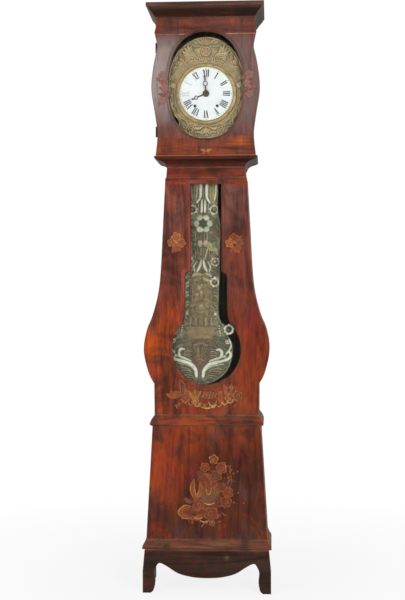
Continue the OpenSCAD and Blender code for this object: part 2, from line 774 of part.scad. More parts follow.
// Going train on the viewer's right
module going_drum() { color("#7a7468") drum(1); }
module going_great_wheel() { color("#b09a55") great_wheel(1, going_lean); }
module going_second_wheel() { color("#b09a55") second_wheel(1, going_lean, 0); }
module going_third_wheel() { color("#b09a55") third_wheel(1, going_lean); }
module escape_wheel() {
    p = arbor_at(1, going_lean, reach_3);
    root_r = escape_r - 5;
    color("#b09a55") train_arbor(p, going_lean, third_m, third_y, wheel_t)
        translate([p[0], 0, p[1]]) slab(escape_y, escape_y + 2) difference() {
            polygon([for (i = [0 : escape_n - 1]) let(a = i * 360 / escape_n)
                for (c = [[0, escape_r], [2, root_r], [8, root_r]])
                    [c[1] * cos(a + c[0]), c[1] * sin(a + c[0])]]);
            circle(arbor_r - 0.5);
        }
}
module going_line() { line(1); }
module going_weight() { weight(1); }

// Strike train on the viewer's left
module strike_drum() { color("#7a7468") drum(-1); }
module strike_great_wheel() { color("#b09a55") great_wheel(-1, strike_lean); }
module strike_pin_wheel() { color("#b09a55") second_wheel(-1, strike_lean, 8); }
module warning_wheel() { color("#b09a55") third_wheel(-1, strike_lean); }
module strike_fly() {
    p = arbor_at(-1, strike_lean, reach_3);
    vane = 18;
    color("#9a8a58") train_arbor(p, strike_lean, third_m, third_y, wheel_t)
        translate([p[0] - vane, escape_y - 10, p[1] - 0.6]) cube([2 * vane, 40, 1.2]);
}
module strike_line() { line(-1); }
module strike_weight() { weight(-1); }

// Motion work and hands
module minute_cannon() {
    color("#a89358") translate([0, 0, dial_z]) difference() {
        union() {
            rod(cannon_r, dial_y - 14, motion_y + 3);
            slab(motion_y, motion_y + wheel_t) gear(cannon_n, cannon_m, 180 / cannon_n);
        }
        rod(post_r + fit, dial_y - 15, motion_y + 4);
    }
}
module minute_wheel() {
    color("#a89358") translate([motion_reach, 0, dial_z]) difference() {
        union() {
            slab(motion_y, motion_y + wheel_t) gear(minute_n, cannon_m, 180);
            slab(motion_y - 4.5, motion_y) gear(relay_n, hour_m, 0);
        }
        rod(stud_r + fit, motion_y - 6, motion_y + 4);
    }
}
module hour_wheel() {
    color("#a89358") translate([0, 0, dial_z]) difference() {
        union() {
            rod(hour_pipe_r, dial_y - 9, motion_y - 1);
            slab(motion_y - 4, motion_y - 1) gear(hour_n, hour_m, 180 / hour_n);
        }
        rod(cannon_r + fit, dial_y - 10, motion_y);
    }
}
// Hand pointing up: hub disc, tapered stem, open ring and spear tip
module hand(length, ring_at, ring_r, bore) {
    hub = 13;
    difference() {
        union() {
            circle(hub);
            circle(ring_r);
            translate([0, ring_at]) circle(ring_r);
            polygon(both_sides([[3, 0], [2.2, ring_at], [2.4, ring_at + ring_r + 3],
                [3.4, ring_at + ring_r + 10], [0.3, length]]));
        }
        translate([0, ring_at]) circle(ring_r - 3);
        circle(bore);
    }
}
module minute_hand() {
    color("#7a4a32") translate([0, 0, dial_z]) rotate([0, minute_hand_deg, 0])
        slab(dial_y - 13, dial_y - 11) hand(minute_hand_l, 39, 10, cannon_r);
}
module hour_hand() {
    color("#7a4a32") translate([0, 0, dial_z]) rotate([0, hour_hand_deg, 0])
        slab(dial_y - 8.5, dial_y - 6.5) hand(hour_hand_l, 42, 8, hour_pipe_r);
}

// Everything that swings is stored a little to the left
module swung() {
    translate([0, 0, pallet_z]) rotate([0, swing_rest, 0]) translate([0, 0, -pallet_z]) children();
}
// Anchor with two pallets, its arbor and the crutch that drives the rod
module pallet_anchor() {
    pallet_a = 48;
    pallet_gap = 3.4;
    pallet_x = (escape_r + pallet_gap) * sin(pallet_a);
    pallet_low = pallet_up - (escape_r + pallet_gap) * cos(pallet_a);
    crutch_y = pendulum_y + 4.6;
    crutch_l = 40;
    color("#6a6458") swung() translate([0, 0, pallet_z]) union() {
        rod(arbor_r, crutch_y, bar_y1 - 2);
        slab(escape_y - 2, escape_y + 4) difference() {
            union() {
                circle(6);
                polygon(both_sides([[pallet_x, -pallet_low], [pallet_x + 4, -pallet_low + 2],
                    [pallet_x + 3, -pallet_low + 9], [3, 4]]));
            }
            translate([0, -pallet_up]) circle(escape_r + pallet_gap);
        }
        translate([-3, crutch_y, -crutch_l]) cube([6, 2.4, crutch_l]);
        rod(5, crutch_y, crutch_y + 2.4);
        translate([-9, crutch_y, -crutch_l - 4]) cube([18, 2.4, 5]);
        for (side = [-1, 1])
            rod(1.2, pendulum_y - 4, crutch_y + 1, side * (rod_half + 1.6), -crutch_l - 1.5);
    }
}
// Flat iron rod with a ring around the hand post and a hook eye at the top
module pendulum_rod() {
    ring_z = dial_z - pallet_z;
    low = bob_z - pallet_z - 60;
    color("#5a564e") swung() translate([0, 0, pallet_z]) slab(pendulum_y - rod_t / 2, pendulum_y + rod_t / 2)
        difference() {
            union() {
                circle(9);
                translate([0, ring_z]) circle(rod_ring_r + 4);
                translate([-rod_half, low]) square([2 * rod_half, -low]);
            }
            circle(3 + fit);
            translate([0, ring_z]) circle(rod_ring_r);
        }
}
// Pressed sheet: fluted top, panelled middle, a rosette at each shoulder and a round bob
module pendulum_sheet() {
    y1 = pendulum_y - rod_t / 2;
    neck = bob_z + 150;
    step = trunk_z + slender_z + 182;
    rosette = [bob_r - 18, bob_z + 90];
    rosette_r = 20;
    upper = curve([[sheet_top_half - 22, sheet_top_z], [sheet_top_half - 3, sheet_top_z - 24],
        [sheet_top_half, sheet_top_z - 80], [sheet_top_half + 1, step + 40], [sheet_half, step],
        [sheet_half, (step + neck) / 2], [sheet_half - 2, neck + 20], [sheet_half + 8, neck - 30]], 4);
    shoulder = [for (a = [140 : -15 : -100]) rosette + rosette_r * [cos(a), sin(a)]];
    lower = curve([[bob_r - 6, bob_z + 42], [bob_r, bob_z], [bob_r - 18, bob_z - 68],
        [bob_r / 2, bob_z - 114], [10, bob_z - bob_r]], 4);
    color("#8a8a70") swung() slab(y1 - sheet_t, y1)
        polygon(both_sides(concat(upper, shoulder, lower)));
}
// Cast bob behind the sheet
module pendulum_bob() {
    r = 88;
    y0 = pendulum_y + rod_t / 2;
    color("#4a4846") swung() translate([0, y0, bob_z]) rotate([-90, 0, 0]) rotate_extrude()
        polygon(concat([[0, 0], [r - 14, 0]], curve([[r, 3], [r - 6, 7], [r - 34, 11]], 4), [[0, 12]]));
}

front_apron();
side_aprons();
base_moulding();
base_floor();
base_front_panel();
base_side_panels();
waist_moulding();
trunk_side_panels();
base_back_board();
trunk_back_board();
hood_back_board();
neck_board();
hood_base_moulding();
hood_side_panels();
hood_top_board();
cornice();
seat_board();
hood_door();
hood_door_glass();
hood_door_bead();
door_hinge_leaves();
case_hinge_leaves();
trunk_front();
trunk_glass();
trunk_bead();
cage_bottom_plate();
cage_top_plate();
cage_pillars();
train_bars();
centre_post();
pendulum_cocks();
dial_pediment();
dial_bezel();
enamel_dial();
bell_stand();
bell();
hammer();
minute_cannon();
minute_hand();
minute_wheel();
hour_wheel();
hour_hand();
going_drum();
going_great_wheel();
going_second_wheel();
going_third_wheel();
escape_wheel();
going_line();
going_weight();
strike_drum();
strike_great_wheel();
strike_pin_wheel();
warning_wheel();
strike_fly();
strike_line();
strike_weight();
pallet_anchor();
pendulum_rod();
pendulum_sheet();
pendulum_bob();
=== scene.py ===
"""Looks of a violin-cased comtoise clock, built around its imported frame."""
import math

import bpy
import numpy as np
from mathutils import Matrix, Vector


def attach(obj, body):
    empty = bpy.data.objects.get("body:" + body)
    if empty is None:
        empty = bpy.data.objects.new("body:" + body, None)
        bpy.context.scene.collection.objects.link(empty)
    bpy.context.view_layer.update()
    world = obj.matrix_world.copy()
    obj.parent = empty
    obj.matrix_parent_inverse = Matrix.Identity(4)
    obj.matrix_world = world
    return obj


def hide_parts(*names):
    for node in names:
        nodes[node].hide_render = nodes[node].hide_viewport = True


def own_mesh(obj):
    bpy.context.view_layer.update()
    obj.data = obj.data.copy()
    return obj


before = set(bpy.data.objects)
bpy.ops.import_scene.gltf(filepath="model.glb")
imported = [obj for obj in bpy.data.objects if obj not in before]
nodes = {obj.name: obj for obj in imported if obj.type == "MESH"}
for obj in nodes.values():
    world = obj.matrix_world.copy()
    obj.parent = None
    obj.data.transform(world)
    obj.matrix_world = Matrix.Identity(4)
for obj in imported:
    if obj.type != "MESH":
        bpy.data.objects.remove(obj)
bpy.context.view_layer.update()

MM = 0.001
# Planes and levels of the frame, in millimetres
HOOD_FRONT = -110.0
TRUNK_FRONT = -92.0
BASE_FRONT = -105.0
DIAL_FRONT = -62.0
SHEET_FRONT = -50.8
DIAL_Z = 1956.0
WINDING_X, WINDING_Z = 44.0, 1908.0
PIVOT_Z = 2023.35
BOB_Z = 940.0
SWING_REST = math.radians(1.4)
LINE_X, LINE_Y = 61.2, 40.0
LINE_FOOT = 470.0
# Grid of the relief sheets, and what marks a point that no form covers
SHEET_STEP = 1.2
UNCOVERED = -99.0
WHOLE = (slice(None), slice(None))
# How far a pressed sheet's front and back stand before its node, and how deep a carved back sits
SHEET_PROUD, SHEET_BACK, CARVED_BACK = 0.4, 0.05, 0.6
# How widely and how deeply a hollow is felt
HOLLOW_ROUNDS, HOLLOW_DEPTH = 14, 5.0
TINY, FAR = 1e-9, 1e9
SIDES = (-1, 1)


def tone(red, green, blue):
    """Linear colour from the usual 0 to 255 values."""
    def channel(c):
        c = c / 255
        return c / 12.92 if c <= 0.04045 else ((c + 0.055) / 1.055) ** 2.4
    return channel(red), channel(green), channel(blue)


# Materials: short ways to make node trees


class Nodes:
    """Node tree with short ways to add to it."""

    def __init__(self, tree):
        self.tree = tree

    def feed(self, socket, value):
        """Give a socket a link, or a value of its own."""
        if isinstance(value, bpy.types.NodeSocket):
            self.tree.links.new(value, socket)
        elif isinstance(value, tuple) and socket.type == "RGBA":
            socket.default_value = (*value, 1)
        else:
            socket.default_value = value

    def add(self, kind, sockets=(), **settings):
        """New node with its settings, and what its sockets are fed."""
        node = self.tree.nodes.new("ShaderNode" + kind)
        for key, value in settings.items():
            setattr(node, key, value)
        for key, value in dict(sockets).items():
            self.feed(node.inputs[key], value)
        return node

    def math(self, operation, a, b=0.0, clamp=False):
        return self.add("Math", {0: a, 1: b}, operation=operation, use_clamp=clamp).outputs[0]

    def times(self, first, *others):
        """Product of masks."""
        for other in others:
            first = self.math("MULTIPLY", first, other)
        return first


class Shader(Nodes):
    """Material with a principled shader."""

    def __init__(self, name, roughness=0.5, metallic=0.0):
        self.material = bpy.data.materials.new(name)
        self.material.use_nodes = True
        super().__init__(self.material.node_tree)
        self.bsdf = self.tree.nodes["Principled BSDF"]
        self.surface({"Roughness": roughness, "Metallic": metallic})
        self.coords = self.add("TexCoord").outputs["Object"]
        self.base = None

    def surface(self, sockets):
        """What the principled shader's sockets are fed."""
        for key, value in sockets.items():
            self.feed(self.bsdf.inputs[key], value)

    def coat(self, mask, colour, mode="MIX"):
        """Lay a colour over the base where a mask shows."""
        self.base = self.mix(mask, self.base, colour, mode)

    def done(self, sockets=()):
        """Material with its base colour, and what else its surface is fed."""
        self.surface({"Base Color": self.base, **dict(sockets)})
        return self.material

    def rough(self, factor, low, high):
        self.surface({"Roughness": self.ramp(factor, (0.2, low), (0.8, high))})

    def bump(self, height, strength, distance=0.001):
        node = self.add("Bump", {"Strength": strength, "Distance": distance, "Height": height})
        self.surface({"Normal": node.outputs[0]})

    def stretched(self, scale, offset=(0, 0, 0)):
        return self.add("Mapping", {"Vector": self.coords, "Scale": scale, "Location": offset}).outputs[0]

    def noise(self, scale, detail=4.0, rough=0.55, distortion=0.0, vector=None):
        return self.add("TexNoise", {
            "Vector": vector or self.coords, "Scale": scale, "Detail": detail, "Roughness": rough,
            "Distortion": distortion}).outputs["Fac"]

    def ramp(self, factor, *stops):
        """Colour ramp; a stop is (place, grey or colour)."""
        node = self.add("ValToRGB", {"Fac": factor})
        ramp = node.color_ramp
        while len(ramp.elements) < len(stops):
            ramp.elements.new(0.5)
        for element, (place, value) in zip(ramp.elements, stops):
            element.position = place
            element.color = (*value, 1) if isinstance(value, tuple) else (value, value, value, 1)
        return node.outputs["Color"]

    def peak(self, value, stops, top=1.0):
        """Mask that rises from the first stop to the second and falls to the third."""
        return self.ramp(value, (stops[0], 0.0), (stops[1], top), (stops[2], 0.0))

    def between(self, value, low, high):
        """Mask of the values between two levels."""
        return self.times(self.math("GREATER_THAN", value, low), self.math("LESS_THAN", value, high))

    def mix(self, factor, a, b, mode="MIX"):
        return self.add("Mix", {0: factor, 6: a, 7: b}, data_type="RGBA", blend_type=mode).outputs[2]

    def dot(self, a, b):
        return self.add("VectorMath", {0: a, 1: b}, operation="DOT_PRODUCT").outputs["Value"]

    def axis(self, letter):
        return self.add("SeparateXYZ", {0: self.coords}).outputs[letter]

    def normal(self):
        return self.add("NewGeometry").outputs["Normal"]

    def attribute(self, name, output="Fac"):
        return self.add("Attribute", attribute_name=name).outputs[output]

    def edge(self, radius, low, high):
        """Mask that is bright near edges, from how far a bevelled normal leans away."""
        bevel = self.add("Bevel", {"Radius": radius}, samples=4).outputs[0]
        lean = self.dot(bevel, self.normal())
        return self.ramp(self.math("SUBTRACT", 1.0, lean), (low, 0), (high, 1))

    def hidden(self, reach):
        """Mask of corners and hollows that light hardly reaches."""
        light = self.add("AmbientOcclusion", {"Distance": reach}, samples=4).outputs["AO"]
        return self.ramp(light, (0.35, 0.85), (0.8, 0.0))

    def inner(self):
        """Mask of faces that look in towards the upright axis of the case."""
        outward = self.dot(self.stretched((1, 1, 0)), self.normal())
        return self.ramp(self.math("ADD", outward, 0.5), (0.495, 1), (0.5, 0))


CASE_HEIGHT = 2.3
# Mean tone of the painted case by height, from the dark feet to the hood and the cornice. The grey
# haze of the upper trunk and the hood is painted sheen, and the dark bands in the cove under the
# hood and in the cornice's cove are painted shade
TONE_AND_SHADING_BY_LEVEL = (
    (0.00, tone(54, 41, 35)), (0.070, tone(48, 35, 30)), (0.076, tone(114, 73, 57)),
    (0.088, tone(106, 67, 53)), (0.094, tone(72, 42, 32)), (0.15, tone(84, 42, 29)),
    (0.22, tone(79, 38, 24)), (0.272, tone(104, 47, 28)), (0.29, tone(120, 60, 41)),
    (0.33, tone(124, 56, 32)), (0.42, tone(115, 49, 30)), (0.54, tone(106, 52, 45)),
    (0.66, tone(108, 66, 60)), (0.69, tone(112, 72, 66)), (0.695, tone(126, 58, 38)),
    (0.722, tone(98, 46, 36)), (0.728, tone(46, 21, 17)), (0.741, tone(58, 27, 22)),
    (0.746, tone(113, 57, 42)), (0.765, tone(111, 59, 46)), (0.80, tone(99, 82, 83)),
    (0.90, tone(116, 98, 98)), (0.945, tone(104, 78, 76)), (0.952, tone(92, 56, 52)),
    (0.973, tone(94, 56, 50)), (0.977, tone(40, 25, 19)), (0.988, tone(43, 28, 22)),
    (0.994, tone(82, 62, 58)))
# How strongly stains show, by height
LIVELY_BY_LEVEL = (
    (0.07, 0.3), (0.08, 1.0), (0.725, 1.0), (0.73, 0.2), (0.743, 0.2), (0.748, 1.0), (0.775, 0.4),
    (0.945, 0.4), (0.952, 0.8), (0.972, 0.8), (0.978, 0.1))
# Worn places of the paint: stops across, where 0.5 is the middle, stops of level, tone and share
WORN_PLACES = (
    ((0.57, 0.64, 0.69), (0.757, 0.766, 0.777), tone(206, 104, 48), 0.85),
    ((0.564, 0.579, 0.592), (0.054, 0.066, 0.073), tone(136, 106, 80), 0.55),
    ((0.44, 0.54, 0.64), (0.075, 0.081, 0.088), tone(150, 112, 88), 0.5))
WARM_STAIN = tone(176, 76, 24)
PLUM_STAIN = tone(124, 44, 46)
DULL_STAIN = tone(92, 62, 62)
DARK_BRUISE = tone(64, 40, 36)
RED_BRUISE = tone(146, 58, 30)
# Grey of the painted sheen on the hood
GREY_SHEEN = tone(152, 139, 142)
# Red of the painted light on the left of the window's rim
RIM_LIGHT_RED = tone(176, 84, 76)
FINE_STREAK = tone(46, 27, 23)
DARK_EDGE = tone(62, 46, 42)
WORN_AND_LIT_EDGE = tone(176, 120, 86)
PALE_LINE = tone(186, 118, 78)
PAINTED_CORNER_SHADE = tone(30, 18, 15)
PALE_PINE = ((0.32, tone(118, 104, 84)), (0.66, tone(160, 146, 122)))
CALM_GRAIN = (0.76, 0.76, 0.76)
VARNISH_TINT = (1.29, 1.25, 1.12)


def painted_grain(name, rails=(), across=False, rim_light=0.0, closed=False, lines=()):
    """Red-brown imitation grain on pine: brushed streaks, warm and dull clouds, edges, painted light.

    Rails are levels, in metres, where the grain runs across instead of upright. Lines are levels
    where thin pale lines are painted. Rim light reddens the left of a rim as painted light, and a
    closed piece shows pale wood on its inner faces. The left side's warmth, the hood's sheen, part
    of the pale edges and the shade in corners are painted light and shade.
    """
    s = Shader(name)
    height = s.axis("Z")
    level = s.math("DIVIDE", height, CASE_HEIGHT)
    sideways = s.math("ADD", s.axis("X"), 0.5)
    upright = s.noise(1.0, 7, 0.68, 1.1, s.stretched((24, 24, 3.0)))
    level_grain = s.noise(1.0, 7, 0.68, 1.1, s.stretched((3.0, 24, 30)))
    fine = s.noise(1.0, 5, 0.62, 0.3, s.stretched((12, 95, 110) if across else (95, 95, 12)))
    cloud = s.noise(4.6, 4, 0.6, 0.7, s.stretched((1, 1, 0.8), (0.85, 0.3, 1.1)))
    bruise = s.noise(9.0, 5, 0.64, 0.9, s.stretched((1, 1, 0.75), (0.1, 0.4, 0.7)))
    hue = s.noise(6.5, 4, 0.62, 0.9, s.stretched((1, 1, 0.6), (0.7, 0.2, 0.5)))
    streak = level_grain if across else upright
    for low, high in rails:
        streak = s.mix(s.between(height, low, high), streak, level_grain)
    # Base tone by height, which holds painted sheen and the painted shade of the moulding coves
    s.base = s.ramp(level, *TONE_AND_SHADING_BY_LEVEL)
    lively = s.ramp(level, *LIVELY_BY_LEVEL)
    # The left side of the case is painted lighter, as painted light: lean marks that side, and lays the warm
    # glow on the belly and base, part of the warm clouds and the hood's sheen
    lean = s.ramp(sideways, (0.28, 1.0), (0.66, 0.0))
    glow = s.times(lean, s.ramp(level, (0.15, 0.0), (0.24, 0.2), (0.46, 0.28), (0.54, 0.0)))
    s.coat(glow, WARM_STAIN)
    warm_levels = s.ramp(level, (0.1, 0.1), (0.2, 0.5), (0.42, 0.9), (0.55, 0.5), (0.74, 0.35))
    warm = s.times(s.ramp(cloud, (0.45, 0.0), (0.58, 0.85)), warm_levels, lively)
    s.coat(s.times(warm, s.math("ADD", s.times(lean, 0.85), 0.15)), WARM_STAIN)
    for wave, start, end, stain in (
            (hue, (0.52, 0.0), (0.66, 0.55), PLUM_STAIN),
            (hue, (0.34, 0.5), (0.47, 0.0), DULL_STAIN),
            (bruise, (0.48, 0.0), (0.63, 0.78), DARK_BRUISE),
            (bruise, (0.3, 0.6), (0.43, 0.0), RED_BRUISE)):
        s.coat(s.times(lively, s.ramp(wave, start, end)), stain)
    # Painted sheen: grey laid over the left of the hood
    painted_sheen = s.times(lean, s.ramp(level, (0.79, 0.0), (0.85, 0.9), (0.92, 0.7), (0.95, 0.0)))
    s.coat(painted_sheen, GREY_SHEEN)
    for places, levels, lighter, share in WORN_PLACES:
        patch = s.times(s.peak(sideways, places, share), s.peak(level, levels))
        s.coat(s.times(patch, s.ramp(streak, (0.36, 0.2), (0.54, 1.0))), lighter)
    # Painted light: the left of a rim is laid lighter red
    if rim_light:
        left = s.ramp(sideways, (0.45, rim_light), (0.5, 0.1 * rim_light))
        upper = s.ramp(level, (0.45, 0.3), (0.56, 1.0))
        s.coat(s.times(left, upper), RIM_LIGHT_RED)
    calm = s.ramp(level, (0.76, 0.0), (0.79, 0.6), (0.94, 0.6), (0.955, 0.1))
    grain = s.mix(calm, s.ramp(streak, (0.33, 0.36), (0.5, 0.74), (0.64, 1.0)), CALM_GRAIN)
    for layer in (grain, VARNISH_TINT):
        s.coat(1.0, layer, "MULTIPLY")
    s.coat(s.ramp(fine, (0.52, 0.0), (0.74, 0.55)), FINE_STREAK)
    # Darker near edges
    s.coat(s.edge(0.009, 0.02, 0.30), DARK_EDGE)
    # Pale edges, partly wear and partly painted highlight
    edge_wear_and_highlight = s.times(s.edge(0.004, 0.03, 0.22), s.ramp(bruise, (0.4, 0.85), (0.6, 0.2)))
    s.coat(edge_wear_and_highlight, WORN_AND_LIT_EDGE)
    # Thin pale lines across the given levels
    for low, high in lines:
        pale_line = s.times(s.between(height, low, high), s.ramp(cloud, (0.4, 0.2), (0.52, 0.85)))
        s.coat(pale_line, PALE_LINE)
    # Painted shade in corners and hollows
    s.coat(s.hidden(0.045), PAINTED_CORNER_SHADE)
    if closed:
        s.coat(s.inner(), s.ramp(upright, *PALE_PINE))
    s.rough(bruise, 0.42, 0.62)
    s.bump(s.math("ADD", streak, s.times(fine, 0.6)), 0.35, 0.0007)
    return s.done({"Specular IOR Level": 0.06})


def bare_pine(name, grain=(34, 34, 1.8)):
    """Unpainted pine, browned outside and greyed inside the case."""
    s = Shader(name, 0.78)
    streak = s.noise(1.0, 6, 0.62, 0.8, s.stretched(grain))
    dirt = s.ramp(s.noise(5.0, 4, 0.6), (0.45, 0.0), (0.75, 0.7))
    s.base = s.ramp(streak, (0.3, tone(92, 68, 46)), (0.7, tone(148, 116, 82)))
    s.coat(dirt, tone(70, 52, 38))
    s.coat(s.inner(), s.ramp(streak, *PALE_PINE))
    s.bump(streak, 0.4, 0.0008)
    return s.done()


def aged_brass(name, bright=tone(186, 160, 104), dull=tone(106, 90, 56), roughness=0.42):
    """Brass with brown patina and a few green spots."""
    s = Shader(name, roughness, 0.7)
    patina = s.noise(55, 5, 0.6)
    spots = s.noise(140, 3, 0.5)
    s.base = bright
    s.coat(s.ramp(patina, (0.35, 0.0), (0.68, 0.85)), dull)
    s.coat(s.ramp(spots, (0.66, 0.0), (0.74, 0.4)), tone(96, 108, 84))
    s.rough(patina, roughness - 0.08, roughness + 0.2)
    s.bump(spots, 0.15, 0.0004)
    return s.done()


def forged_iron(name):
    """Dull black iron with a little rust."""
    s = Shader(name, 0.6, 0.6)
    rust = s.noise(42, 5, 0.6)
    s.base = s.ramp(rust, (0.3, tone(50, 48, 46)), (0.62, tone(72, 66, 60)), (0.8, tone(98, 70, 50)))
    s.rough(rust, 0.45, 0.75)
    s.bump(s.noise(260, 3), 0.25, 0.0005)
    return s.done()


def old_glass(name):
    """Thin clear pane with faint waviness."""
    s = Shader(name, 0.02)
    s.base = tone(250, 252, 250)
    s.bump(s.noise(7, 2), 0.03)
    return s.done({"Transmission Weight": 1.0, "IOR": 1.1})


def two_tone(name, dark, light, scale, detail, roughness, metallic=0.0, stretch=None, end=0.7, coat=()):
    """Finish that wavers between two tones, as enamel, old copper, gut and fired black do."""
    s = Shader(name, roughness, metallic)
    wave = s.noise(scale, detail, vector=stretch and s.stretched(stretch))
    s.base = s.ramp(wave, (0.3, dark), (end, light))
    return s.done(coat)


def coloured_relief(name, metallic, roughness, grime_and_shade, grain=60.0, crest_wear_and_highlight=0.2, faded=0.0, dirt=0.8,
                    stains=()):
    """Pressed or carved forms: the paint of each point, darker hollows, lighter high places.

    Faded is the share of the paint that is lost to the grime's colour in worn patches, dirt the
    darkening of the hollows, partly grime and partly painted shade, and stains are colours that tint
    it in patches. The lightening of the high places is partly rubbed wear and partly painted highlight.
    """
    s = Shader(name, roughness, metallic)
    hollow = s.attribute("hollow")
    mottle = s.noise(grain, 5, 0.62)
    spots = s.noise(3.2 * grain, 3, 0.5)
    s.base = s.attribute("paint", "Color")
    s.coat(s.ramp(mottle, (0.35, 0.0), (0.75, 0.5)), grime_and_shade)
    for k, stain in enumerate(stains):
        patch = s.noise(30, 5, 0.66, 0.5, s.stretched((1, 1, 1), (0.3 + 0.7 * k, 0.1, 0.5 * k)))
        s.coat(s.ramp(patch, (0.48, 0.0), (0.66, 0.6)), stain)
    # Hollows darkened: grime there and painted shade
    s.coat(s.ramp(hollow, (0.5, 0.0), (0.75, dirt)), grime_and_shade)
    # High places lightened: rubbed wear and painted highlight
    s.coat(s.ramp(hollow, (0.25, crest_wear_and_highlight), (0.46, 0.0)), tone(214, 204, 180))
    if faded:
        lost = s.ramp(s.noise(26, 5, 0.65, 0.6), (0.38, 0.3 * faded), (0.6, faded))
        s.coat(lost, grime_and_shade)
    s.rough(mottle, roughness - 0.1, roughness + 0.16)
    s.bump(spots, 0.22, 0.0005)
    return s.done({"Specular IOR Level": 0.14})


# Outlines and paths, in millimetres


def curve(points, steps=5):
    """Smooth path through points, evenly stepped between them."""
    p = [np.array(q, float) for q in points]
    out = []
    for i in range(len(p) - 1):
        a, b, c, d = p[max(i - 1, 0)], p[i], p[i + 1], p[min(i + 2, len(p) - 1)]
        for k in range(steps):
            t = k / steps
            out.append(0.5 * (2 * b + (c - a) * t + (2 * a - 5 * b + 4 * c - d) * t ** 2
                              + (3 * b - a - 3 * c + d) * t ** 3))
    return out + [p[-1]]


def bow(root, tip, bend):
    """Path from root to tip that bows sideways by a share of its length."""
    root, tip = np.array(root, float), np.array(tip, float)
    along = tip - root
    middle = (root + tip) / 2 + bend * np.array((-along[1], along[0]))
    return curve([root, middle, tip], 8)


def both_sides(half):
    """Right half of an outline, closed by its mirror image."""
    return [tuple(p) for p in half] + [(-p[0], p[1]) for p in half[::-1]]


def around(centre, radius, start, end, count=32):
    """Points of an arc, from one angle to another in degrees."""
    angle = np.radians(np.linspace(start, end, count))
    return np.column_stack((centre[0] + radius * np.cos(angle), centre[1] + radius * np.sin(angle)))


def heading(degrees):
    """Unit step in a direction."""
    angle = math.radians(degrees)
    return np.array((math.cos(angle), math.sin(angle)))


def half_round(across):
    """Height of a round profile at a share of its half width."""
    return np.sqrt(np.clip(1 - across ** 2, 0, 1))


def run_along(path):
    """Length of a path up to each of its points."""
    return np.r_[0, np.cumsum(np.hypot(*np.diff(path, axis=0).T))]


def to_segment(u, v, start, end):
    """Share along a segment of its nearest point, and the distance to that point."""
    du, dv = end[0] - start[0], end[1] - start[1]
    u, v = u - start[0], v - start[1]
    t = np.clip((u * du + v * dv) / max(du * du + dv * dv, TINY), 0, 1)
    return t, np.hypot(u - t * du, v - t * dv)


def inside_outline(points, u, v):
    """Distance inside a closed outline, negative outside it."""
    starts = np.array(points, float)
    nearest = np.full(u.shape, FAR)
    odd = np.zeros(u.shape, bool)
    for start, end in zip(starts, np.roll(starts, -1, 0)):
        nearest = np.minimum(nearest, to_segment(u, v, start, end)[1])
        du, dv = end - start
        crosses = (start[1] > v) != (end[1] > v)
        odd ^= crosses & (u < start[0] + (v - start[1]) * du / (dv or TINY))
    return np.where(odd, nearest, -nearest)


def blurred(field, rounds):
    """Field smoothed by its neighbours."""
    for _ in range(rounds):
        wide = np.pad(field, 1, mode="edge")
        field = (2 * field + wide[:-2, 1:-1] + wide[2:, 1:-1] + wide[1:-1, :-2] + wide[1:-1, 2:]) / 6
    return field


def put(name, data):
    """Object of this data in the scene."""
    obj = bpy.data.objects.new(name, data)
    bpy.context.scene.collection.objects.link(obj)
    return obj


def add_piece(name, verts, faces, material, body, slot, smooth=True):
    """Mesh object in metres that rides on a body."""
    mesh = bpy.data.meshes.new(name)
    mesh.from_pydata([tuple(v) for v in np.asarray(verts) * MM], [], faces)
    mesh.materials.append(material)
    mesh.polygons.foreach_set("use_smooth", [smooth] * len(mesh.polygons))
    obj = put(name, mesh)
    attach(obj, body)
    return obj


